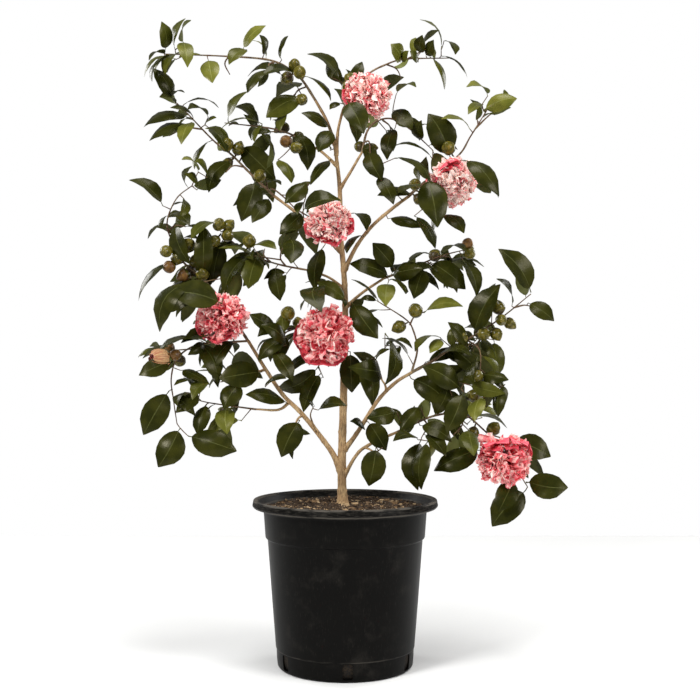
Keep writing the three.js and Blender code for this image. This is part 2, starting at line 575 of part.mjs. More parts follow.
// What every mass has to keep clear of.
class Surroundings {
  constructor(limbs) {
    this.rods = [];
    this.leaves = [];
    this.blooms = [];
    for (const limb of limbs.values()) this.addLine('wood', limb.line, limbRadii(limb, limb.line));
  }

  addLine(owner, line, radii) {
    for (let i = 1; i < line.length; i += 1) {
      const radius = Math.max(radii[i - 1], radii[i]);
      this.rods.push({ owner, radius, line: new THREE.Line3(line[i - 1], line[i]) });
    }
  }

  addBloom({ at, radius }) {
    this.blooms.push({ centre: fromArray(at), radius });
  }

  // Inside the crown's limits, off the pot, and clear of every blossom.
  open(point) {
    const { low, high } = KEEP;
    if (point.x < low[0] || point.y < low[1] || point.z < low[2]) return false;
    if (point.x > high[0] || point.y > high[1] || point.z > high[2]) return false;
    if (point.z < KEEP.overPot && Math.hypot(point.x, point.y) < KEEP.potReach) return false;
    return this.blooms.every((bloom) => this.clearOfBloom(bloom, point));
  }

  // Within the crown's outline as seen from the front: what stands forward keeps further in.
  insideOutline(point) {
    const { low, high } = KEEP;
    const { eyeDistance, eyeHeight, depth, inset } = OUTLINE;
    const scale = (eyeDistance + depth) / (eyeDistance + point.y);
    const x = point.x * scale;
    const z = eyeHeight + (point.z - eyeHeight) * scale;
    return x > low[0] + inset && x < high[0] - inset && z < high[2] - inset;
  }

  clearOfBloom(bloom, point) {
    const away = point.clone().sub(bloom.centre);
    if (away.length() < bloom.radius + KEEP.bloomGap) return false;
    const inFront = away.y < 0;
    return !(inFront && Math.hypot(away.x, away.z) < bloom.radius * KEEP.bloomView);
  }

  leafFits(owner, leaf) {
    if (!leafProbes(leaf).every((point) => this.open(point))) return false;
    const whole = leafShell(leaf, 0);
    const blade = leafShell(leaf, LEAF.rootShare);
    const meetsRod = this.rods.some((rod) => {
      if (!rodNearLeaf(rod, leaf)) return false;
      const own = rod.owner === owner;
      return rodTouches(rod, own ? blade : whole, own ? KEEP.ownGap : KEEP.gap);
    });
    if (meetsRod) return false;
    return !this.leaves.some((other) => {
      if (other.middle.distanceTo(leaf.middle) > other.reach + leaf.reach) return false;
      return other.owner === owner ? shellsCross(other.blade, blade) : shellsCross(other.whole, whole);
    });
  }

  addLeaf(owner, leaf) {
    const { middle, reach } = leaf;
    this.leaves.push({
      owner, middle, reach, whole: leafShell(leaf, 0), blade: leafShell(leaf, LEAF.rootShare),
    });
  }

  rodFits(owner, from, to, radius) {
    const line = new THREE.Line3(from, to);
    if (![from, line.at(0.5, vec(0, 0, 0)), to].every((point) => this.open(point))) return false;
    const rod = { line, radius };
    const meetsRod = this.rods.some((other) => {
      const apart = other.line.distanceSqToLine3(line);
      return other.owner !== owner && apart < (radius + other.radius + KEEP.gap) ** 2;
    });
    if (meetsRod) return false;
    return !this.leaves.some((leaf) => {
      if (!rodNearLeaf(rod, leaf)) return false;
      const own = leaf.owner === owner;
      return rodTouches(rod, own ? leaf.blade : leaf.whole, own ? KEEP.ownGap : KEEP.gap);
    });
  }
}

// One leafy mass: its lines first, then what grows on them.
class Foliage {
  constructor(spec, limbs, round) {
    this.spec = spec;
    this.round = round;
    this.rng = new Seeded(spec.seed);
    this.twigs = [];
    this.leaves = [];
    this.buds = [];
    const points = spec.stem.map(fromArray);
    const parent = limbs.get(spec.from).fine;
    points[0] = parent[nearestIndex(parent, points[0])].clone();
    this.stem = smoothLine(points, GROWTH.ringStep);
    this.shoots = spec.shoots.map(([share, end]) => {
      const start = along(this.stem, share * lengthOf(this.stem));
      return bentLine(start.point, start.heading, fromArray(end), GROWTH.ringStep);
    });
    this.lines = [this.stem, ...this.shoots];
    this.samples = this.lines.map((line) => subdivided(line, GROWTH.samplesPerRing));
    round.addLine(spec.name, this.stem, evenTaper(this.stem, spec.radius));
    this.shoots.forEach((line) => {
      round.addLine(spec.name, line, evenTaper(line, [GROWTH.shootRadius, spec.radius[1]]));
    });
    [spec.bloom, spec.bud].filter(Boolean).forEach((flower) => round.addBloom(flower));
  }

  // The nearest place on the mass's own lines, moved back towards the root of that line.
  rootFor(target, backShare) {
    let best = null;
    for (const line of this.samples) {
      const i = nearestIndex(line, target);
      const away = line[i].distanceTo(target);
      const back = Math.round((backShare * away * GROWTH.samplesPerRing) / GROWTH.ringStep);
      const root = line[Math.max(1, i - back)];
      if (!best || away < best.away) best = { root, away };
    }
    return best.root;
  }

  keepTwig(from, to) {
    this.twigs.push([from, to]);
    this.round.addLine(this.spec.name, [from, to], GROWTH.twigRadius);
  }

  keepLeaf(leaf) {
    this.leaves.push(leaf);
    this.round.addLeaf(this.spec.name, leaf);
  }

  addStalks() {
    [this.spec.bloom, this.spec.bud].filter(Boolean).forEach(({ at, radius, facing }) => {
      const centre = fromArray(at);
      const back = fromArray(facing).normalize().multiplyScalar(-radius * GROWTH.stalkDepth);
      this.keepTwig(this.rootFor(centre, GROWTH.stalkBack), centre.clone().add(back));
    });
  }

  // Leaves that give the crown its outline, each with a stalk where it starts off the stem.
  addReach() {
    this.spec.reach.map(fromArray).forEach((tip) => {
      for (let n = 0; n < GROWTH.tries && !this.addAimedLeaf(tip, n); n += 1);
    });
  }

  addAimedLeaf(tip, tried) {
    const root = this.rootFor(tip, GROWTH.aimBack - GROWTH.aimBackStep * (tried % 3));
    const outward = this.rng.next() < GROWTH.aimedForward ? -1 : 1;
    const size = LEAF.aimedLongest * this.rng.between(...GROWTH.aimedSize);
    const away = tip.distanceTo(root);
    const stalked = away > size;
    const start = stalked ? root.clone().lerp(tip, (away - size) / away) : root;
    const leaf = makeLeaf(this.rng, start, tip, outward);
    if (!this.round.leafFits(this.spec.name, leaf)) return false;
    if (stalked) {
      const stalkEnd = root.clone().lerp(tip, (away - size + LEAF.sunk) / away);
      if (!this.round.rodFits(this.spec.name, root, stalkEnd, GROWTH.twigRadius[0])) return false;
      this.keepTwig(root, stalkEnd);
    }
    this.keepLeaf(leaf);
    return true;
  }

  dress() {
    this.lines.forEach((line) => this.dressLine(line));
  }

  // Leaves and leafy twigs, turning round the line from node to node.
  dressLine(line) {
    const length = lengthOf(line);
    let turn = this.rng.between(0, 2 * Math.PI);
    let place = GROWTH.bareLength;
    while (place < length - GROWTH.bareLength) {
      const { point, heading } = along(line, place);
      const twig = this.rng.next() < GROWTH.twigShare;
      turn += GROWTH.turn;
      if (twig) this.addTwig(point, heading, turn);
      else this.addLeaf(point, heading, turn, 1);
      place += GROWTH.nodeStep * this.rng.between(...GROWTH.nodeSpread);
    }
    const end = along(line, length - LEAF.sunk);
    this.addLeaf(end.point, end.heading, turn + 1, GROWTH.endLeafSpread);
  }

  sideways(heading, turn, spread) {
    const front = perpendicular(heading, BACK.clone().addScaledVector(UP, 0.01));
    const third = heading.clone().cross(front);
    const side = front.multiplyScalar(Math.sin(turn) * GROWTH.flatness).addScaledVector(third, Math.cos(turn));
    return heading.clone().multiplyScalar(Math.cos(spread)).addScaledVector(side, Math.sin(spread))
      .addScaledVector(UP, -GROWTH.droop).normalize();
  }

  addLeaf(root, heading, firstTurn, spreadShare) {
    const length = this.rng.between(LEAF.shortest, LEAF.longest);
    const flip = this.rng.next();
    let turn = firstTurn;
    for (let n = 0; n < GROWTH.tries; n += 1) {
      const direction = this.sideways(heading, turn, GROWTH.spread * spreadShare);
      const level = direction.y > GROWTH.inFront && flip < GROWTH.backFacing;
      const outward = direction.y > GROWTH.behind || level ? 1 : -1;
      const tip = root.clone().addScaledVector(direction, length * (1 - GROWTH.retryShrink * n));
      const leaf = makeLeaf(this.rng, root, tip, outward);
      if (this.round.insideOutline(tip) && this.round.leafFits(this.spec.name, leaf)) {
        this.keepLeaf(leaf);
        return;
      }
      turn += GROWTH.retryTurn;
    }
  }

  addTwig(root, heading, firstTurn) {
    const length = this.rng.between(...GROWTH.twigLength);
    let turn = firstTurn;
    for (let n = 0; n < GROWTH.tries; n += 1) {
      const direction = this.sideways(heading, turn, GROWTH.spread * GROWTH.twigSpread);
      const end = root.clone().addScaledVector(direction, length);
      if (this.round.rodFits(this.spec.name, root, end, GROWTH.twigRadius[0])) {
        this.keepTwig(root, end);
        const point = end.clone().addScaledVector(direction, -LEAF.sunk);
        for (let k = 0; k < GROWTH.twigLeaves; k += 1) {
          const spread = k === 0 ? GROWTH.twigEndLeafSpread : GROWTH.twigSpread;
          this.addLeaf(point, direction, turn + (k * 2 * Math.PI) / GROWTH.twigLeaves, spread);
        }
        return;
      }
      turn += GROWTH.retryTurn;
    }
  }

  // Flower buds in groups round the stem.
  addBuds() {
    this.spec.buds.forEach(([share, count]) => {
      const { point, heading } = along(this.stem, share * lengthOf(this.stem) - LEAF.sunk);
      const first = this.rng.between(0, 2 * Math.PI);
      for (let n = 0; n < count; n += 1) {
        const radius = this.rng.between(...BUD.radius);
        for (let tried = 0; tried < GROWTH.tries; tried += 1) {
          const turn = first + (n * 2 * Math.PI) / count + tried * BUD.retryTurn;
          if (this.addBud(point, this.sideways(heading, turn, BUD.spread), radius)) break;
        }
      }
    });
  }

  addBud(root, direction, radius) {
    const centre = root.clone().addScaledVector(direction, BUD.stalk + radius);
    const swollen = root.clone().lerp(centre, BUD.swellsFrom);
    if (!this.round.rodFits(this.spec.name, swollen, centre, radius)) return false;
    this.buds.push({ root, centre, radius });
    return true;
  }
}

// Solids of a mass.
const STEM_SIDES = 3;
const TWIG_SIDES = 3;

// A bud is a drop that widens from its root inside the stem.
function budSolid({ root, centre, radius }) {
  const front = centre.clone().sub(root).normalize();
  const side = perpendicular(front, Math.abs(front.y) < STEEP ? BACK : RIGHT);
  const third = front.clone().cross(side);
  const ring = [[1, 0], [0, 1], [-1, 0], [0, -1]].map(([a, b]) => centre.clone()
    .addScaledVector(side, a * radius).addScaledVector(third, b * radius));
  const positions = [root, ...ring, centre.clone().addScaledVector(front, radius)];
  const faces = [1, 2, 3, 4].flatMap((i) => {
    const next = (i % 4) + 1;
    return [[0, next, i], [5, i, next]];
  });
  return solidOf(positions, faces);
}

// A full double blossom: a dome of small petals on a scalloped ring of broad guard petals. Each
// ring is its radius and its height in front of the centre, as shares of the blossom's radius.
const BLOOM = {
  guards: 7, rings: [[0.42, 0.62], [0.76, 0.3], [0.8, -0.05], [1, -0.16], [0.5, -0.42]],
  front: 0.74, back: -0.5, scallop: 0.16, guardRing: 3,
};

function bloomSolid({ at, radius, facing }) {
  const centre = fromArray(at);
  const front = fromArray(facing).normalize();
  const up = perpendicular(front, UP);
  const side = up.clone().cross(front);
  const count = BLOOM.guards * 2;
  const positions = [centre.clone().addScaledVector(front, radius * BLOOM.front)];
  const triangles = [];
  BLOOM.rings.forEach(([share, height], ring) => {
    for (let j = 0; j < count; j += 1) {
      const angle = (2 * Math.PI * j) / count;
      const dip = ring === BLOOM.guardRing && j % 2 ? BLOOM.scallop : 0;
      positions.push(centre.clone()
        .addScaledVector(side, radius * (share - dip) * Math.cos(angle))
        .addScaledVector(up, radius * (share - dip) * Math.sin(angle))
        .addScaledVector(front, radius * height));
    }
  });
  positions.push(centre.clone().addScaledVector(front, radius * BLOOM.back));
  const last = positions.length - 1;
  for (let j = 0; j < count; j += 1) {
    const next = (j + 1) % count;
    triangles.push([0, 1 + j, 1 + next], [last, last - count + next, last - count + j]);
    for (let ring = 0; ring < BLOOM.rings.length - 1; ring += 1) {
      const a = 1 + ring * count + j;
      const b = 1 + ring * count + next;
      triangles.push([a, a + count, b + count], [a, b + count, b]);
    }
  }
  return solidOf(positions, triangles);
}

const OPENING_BUD = { scale: [0.9, 0.9, 1.1] };

// A blossom that is just opening.
function openingBudSolid({ at, radius, facing }) {
  const ball = new THREE.IcosahedronGeometry(radius, 0);
  ball.scale(...OPENING_BUD.scale);
  const turn = new THREE.Quaternion().setFromUnitVectors(UP, fromArray(facing).normalize());
  ball.applyQuaternion(turn);
  ball.translate(...at);
  return solidOfGeometry(ball);
}

function massSolid(foliage) {
  const { spec } = foliage;
  const { stem } = foliage;
  const solids = [taperedTube(stem, evenTaper(stem, spec.radius), STEM_SIDES)];
  for (const shoot of foliage.shoots) {
    solids.push(rootedTube(shoot, [GROWTH.shootRadius, spec.radius[1]], TWIG_SIDES));
  }
  for (const twig of foliage.twigs) {
    solids.push(rootedTube(twig, GROWTH.twigRadius, TWIG_SIDES));
  }
  solids.push(...foliage.leaves.map(leafSolid), ...foliage.buds.map(budSolid));
  if (spec.bloom) solids.push(bloomSolid(spec.bloom));
  if (spec.bud) solids.push(openingBudSolid(spec.bud));
  return joined(solids);
}

// The largest whole piece of a solid.
function wholePiece(solid) {
  const pieces = solid.decompose();
  return pieces.reduce((best, one) => (one.volume() > best.volume() ? one : best));
}

// The pot's inside, drawn in by a distance from its outside, without the ledges.
function insideOfPot(inset) {
  return POT.insideOf.map((i) => [POT.body[i][0] - inset, POT.body[i][1]]);
}

// The pot's outline runs up its outside, over the rim and down its inside.
function potProfile() {
  const { body, wall, floor } = POT;
  const corner = Array.from({ length: 3 }, (_, i) => {
    const angle = (Math.PI / 4) * i;
    return [POT.footRadius - POT.footCorner * (1 - Math.sin(angle)),
      POT.footCorner * (1 - Math.cos(angle))];
  });
  const inside = insideOfPot(wall).reverse();
  return [
    [0, 0], ...corner, ...body,
    ...POT.rim, ...inside,
    [POT.footRadius - wall - POT.footInset, floor], [0, floor],
  ];
}

function lathe(profile) {
  const geometry = new THREE.LatheGeometry(profile.map(([r, z]) => new THREE.Vector2(r, z)), POT.sides);
  geometry.rotateX(Math.PI / 2);
  return solidOfGeometry(geometry);
}

function makePot() {
  let pot = lathe(potProfile());
  for (let i = 0; i < SLOT.count; i += 1) {
    const cutter = new THREE.BoxGeometry(SLOT.outer - SLOT.inner, SLOT.width, SLOT.top - SLOT.bottom);
    cutter.translate((SLOT.outer + SLOT.inner) / 2, 0, (SLOT.top + SLOT.bottom) / 2);
    cutter.rotateZ(THREE.MathUtils.degToRad(SLOT.firstAngle + (360 / SLOT.count) * i));
    pot = pot.subtract(solidOfGeometry(cutter));
  }
  return pot;
}

function makeSoil() {
  const inset = POT.wall + CLEARANCE;
  const bottom = POT.floor + CLEARANCE;
  const side = insideOfPot(inset);
  return lathe([
    [0, bottom], [POT.footRadius - inset - POT.footInset, bottom], ...side,
    [side[side.length - 1][0], SOIL.top - SOIL.edgeDrop], [SOIL.flatRadius, SOIL.top], [0, SOIL.top],
  ]);
}

const plant = new THREE.Group();

function addMesh(name, solid, { colour, roughness }) {
  const { vertProperties, triVerts } = solid.getMesh();
  const geometry = new THREE.BufferGeometry();
  geometry.setAttribute('position', new THREE.BufferAttribute(new Float32Array(vertProperties), 3));
  geometry.setIndex(new THREE.BufferAttribute(new Uint32Array(triVerts), 1));
  const material = new THREE.MeshStandardMaterial({ color: colour, roughness, metalness: 0 });
  const mesh = new THREE.Mesh(geometry, material);
  mesh.name = name;
  plant.add(mesh);
}

addMesh('pot', makePot(), { colour: 0x1c1b19, roughness: 0.45 });
addMesh('soil', makeSoil(), { colour: 0x3a2c22, roughness: 1 });

const limbs = layOutLimbs();
const woodSoFar = [];
for (const limb of limbs.values()) {
  let solid = limbSolid(limb, 0);
  if (woodSoFar.length) solid = wholePiece(solid.subtract(joined(woodSoFar)));
  addMesh(limb.name, solid, BARK);
  woodSoFar.push(limbSolid(limb, CLEARANCE));
}
const bareWood = joined(woodSoFar);

const surroundings = new Surroundings(limbs);
const masses = MASSES.map((spec) => new Foliage(spec, limbs, surroundings));
masses.forEach((mass) => mass.addStalks());
masses.forEach((mass) => mass.addReach());
masses.forEach((mass) => mass.dress());
masses.forEach((mass) => mass.addBuds());

const stemsSoFar = [];
for (const mass of masses) {
  let solid = massSolid(mass).subtract(bareWood);
  if (stemsSoFar.length) solid = solid.subtract(joined(stemsSoFar));
  addMesh(mass.spec.name, wholePiece(solid), FOLIAGE);
  const foot = mass.stem.slice(0, 2);
  const radii = foot.map(() => mass.spec.radius[0] + CLEARANCE);
  stemsSoFar.push(taperedTube(foot, radii, STEM_SIDES));
}

export default plant;
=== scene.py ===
"""A camellia trained flat as a fan, in its round growing pot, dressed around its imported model.

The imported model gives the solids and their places. This script lays the shrub out again by the same
seeded rule as the part's source, in millimetres, carries it on to finer twigs, leaves and buds, and
builds each kind as one joined mesh, in metres. Distances in the rule are millimetres throughout, and
MM turns them into metres where a mesh is made.
"""

from __future__ import annotations

import json
import logging
import math
from dataclasses import dataclass, field
from enum import Enum
from typing import Any, Optional, Sequence

import bpy
import numpy as np
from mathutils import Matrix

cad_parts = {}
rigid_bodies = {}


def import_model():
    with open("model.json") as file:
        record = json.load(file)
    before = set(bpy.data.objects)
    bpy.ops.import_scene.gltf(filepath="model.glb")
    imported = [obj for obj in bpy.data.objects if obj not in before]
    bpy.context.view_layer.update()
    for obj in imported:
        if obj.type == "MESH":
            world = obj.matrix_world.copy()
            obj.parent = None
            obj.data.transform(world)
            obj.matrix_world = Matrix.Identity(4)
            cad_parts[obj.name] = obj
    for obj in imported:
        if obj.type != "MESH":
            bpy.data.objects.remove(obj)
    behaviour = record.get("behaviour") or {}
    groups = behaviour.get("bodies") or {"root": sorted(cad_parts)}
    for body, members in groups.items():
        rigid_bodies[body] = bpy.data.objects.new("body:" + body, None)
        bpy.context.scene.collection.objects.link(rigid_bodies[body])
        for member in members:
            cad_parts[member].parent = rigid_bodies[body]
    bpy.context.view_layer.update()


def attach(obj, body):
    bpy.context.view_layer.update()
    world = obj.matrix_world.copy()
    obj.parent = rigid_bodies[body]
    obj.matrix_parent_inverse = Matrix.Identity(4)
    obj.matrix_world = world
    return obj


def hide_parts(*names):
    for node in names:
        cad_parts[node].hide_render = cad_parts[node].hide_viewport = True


LOG = logging.getLogger("camellia")
MM = 0.001
BODY = "root"

Array = np.ndarray
Point = tuple[float, float, float]
Colour = tuple[float, float, float]

RIGHT = np.array((1.0, 0.0, 0.0))
BACK = np.array((0.0, 1.0, 0.0))
UP = np.array((0.0, 0.0, 1.0))
STEEP = 0.75
PHASE = (0, 6.3)


@dataclass(frozen=True)
class Picture:
    """The photograph's eye, and where its pixels lie on the plant's middle plane, in millimetres."""

    centre: tuple[float, float] = (345.2, 368)
    pixel: float = 1.782
    height: float = 528
    distance: float = 1960


PICTURE = Picture()


@dataclass(frozen=True)
class Limb:
    """A piece of bare wood: what carries it, its radius at both ends and the places it runs through."""

    name: str
    parent: Optional[str]
    radius: tuple[float, float]
    route: tuple[Point, ...]


@dataclass(frozen=True)
class Flower:
    """A blossom or an opening bud: its centre, its radius and the way that it faces."""

    at: Point
    radius: float
    facing: Point


@dataclass(frozen=True)
class Mass:
    """A leafy mass: a stem with shoots, the leaf tips that give its outline, and its flowers and buds."""

    name: str
    limb: str
    seed: int
    radius: tuple[float, float]
    stem: tuple[Point, ...]
    reach: tuple[Point, ...]
    shoots: tuple[tuple[float, Point], ...] = ()
    bloom: Optional[Flower] = None
    bud: Optional[Flower] = None
    buds: tuple[tuple[float, int], ...] = ()
LIMBS = (
    Limb("trunk", None, (8, 3.2), ((-5, 13, 284), (-6, 20, 360), (-3, 30, 480), (0, 40, 650), (-7, 48, 760),
         (-10, 54, 855), (-19, 60, 938))),
    Limb("left_leader", "trunk", (3.2, 2.5), ((-19, 60, 938), (-33, 60, 980), (-54, 58, 1018))),
    Limb("right_leader", "trunk", (3, 2.4), ((-16, 58, 915), (-13, 61, 965), (-4, 60, 1002))),
    Limb("crown_left_bough", "trunk", (2.6, 2.1), ((-14, 58, 898), (-43, 61, 925), (-68, 63, 940))),
    Limb("crown_right_bough", "trunk", (2.8, 2.2), ((-10, 54, 855), (12, 56, 891), (31, 57, 924))),
    Limb("upper_left_bough", "trunk", (3.4, 2.5), ((-6, 47, 736), (-37, 50, 767), (-88, 54, 811),
         (-130, 56, 843))),
    Limb("upper_right_bough", "trunk", (3.8, 2.8), ((-3, 45, 706), (20, 46, 749), (49, 48, 787),
         (87, 50, 820), (115, 50, 841))),
    Limb("middle_left_bough", "trunk", (2.4, 1.9), ((-1, 41, 672), (-28, 42, 692), (-62, 44, 705))),
    Limb("middle_right_bough", "trunk", (2.9, 2.2), ((0, 39, 636), (30, 40, 664), (70, 42, 691))),
    Limb("lower_left_bough", "trunk", (5.2, 2.8), ((-6, 19, 342), (-27, 21, 381), (-76, 25, 443),
         (-112, 28, 479), (-141, 31, 521), (-176, 35, 577))),
    Limb("low_side_bough", "lower_left_bough", (2.4, 1.7), ((-98, 26, 464), (-120, 18, 453),
         (-160, 10, 454))),
    Limb("knot_spur", "lower_left_bough", (1.9, 1.5), ((-143, 31, 524), (-158, 24, 521), (-176, 16, 515))),
    Limb("hanging_spur", "lower_left_bough", (1.9, 1.5), ((-76, 25, 443), (-84, 12, 438), (-88, 0, 430))),
    Limb("rising_spur", "lower_left_bough", (1.9, 1.5), ((-50, 23, 412), (-54, 11, 420), (-58, 0, 430))),
    Limb("lower_right_bough", "trunk", (4.4, 2.8), ((-5, 22, 377), (18, 22, 406), (59, 25, 469),
         (90, 27, 501), (120, 28, 520))),
    Limb("inner_spur", "lower_right_bough", (1.9, 1.5), ((76, 26, 488), (72, 17, 497), (66, 10, 506))),
    Limb("lowest_right_bough", "trunk", (3.5, 2.3), ((-5, 17, 328), (18, 12, 369), (40, 10, 389),
         (92, 8, 413))),
    Limb("foot_spur", "lowest_right_bough", (1.8, 1.4), ((34, 10, 385), (42, 0, 384), (50, -10, 380))),
)
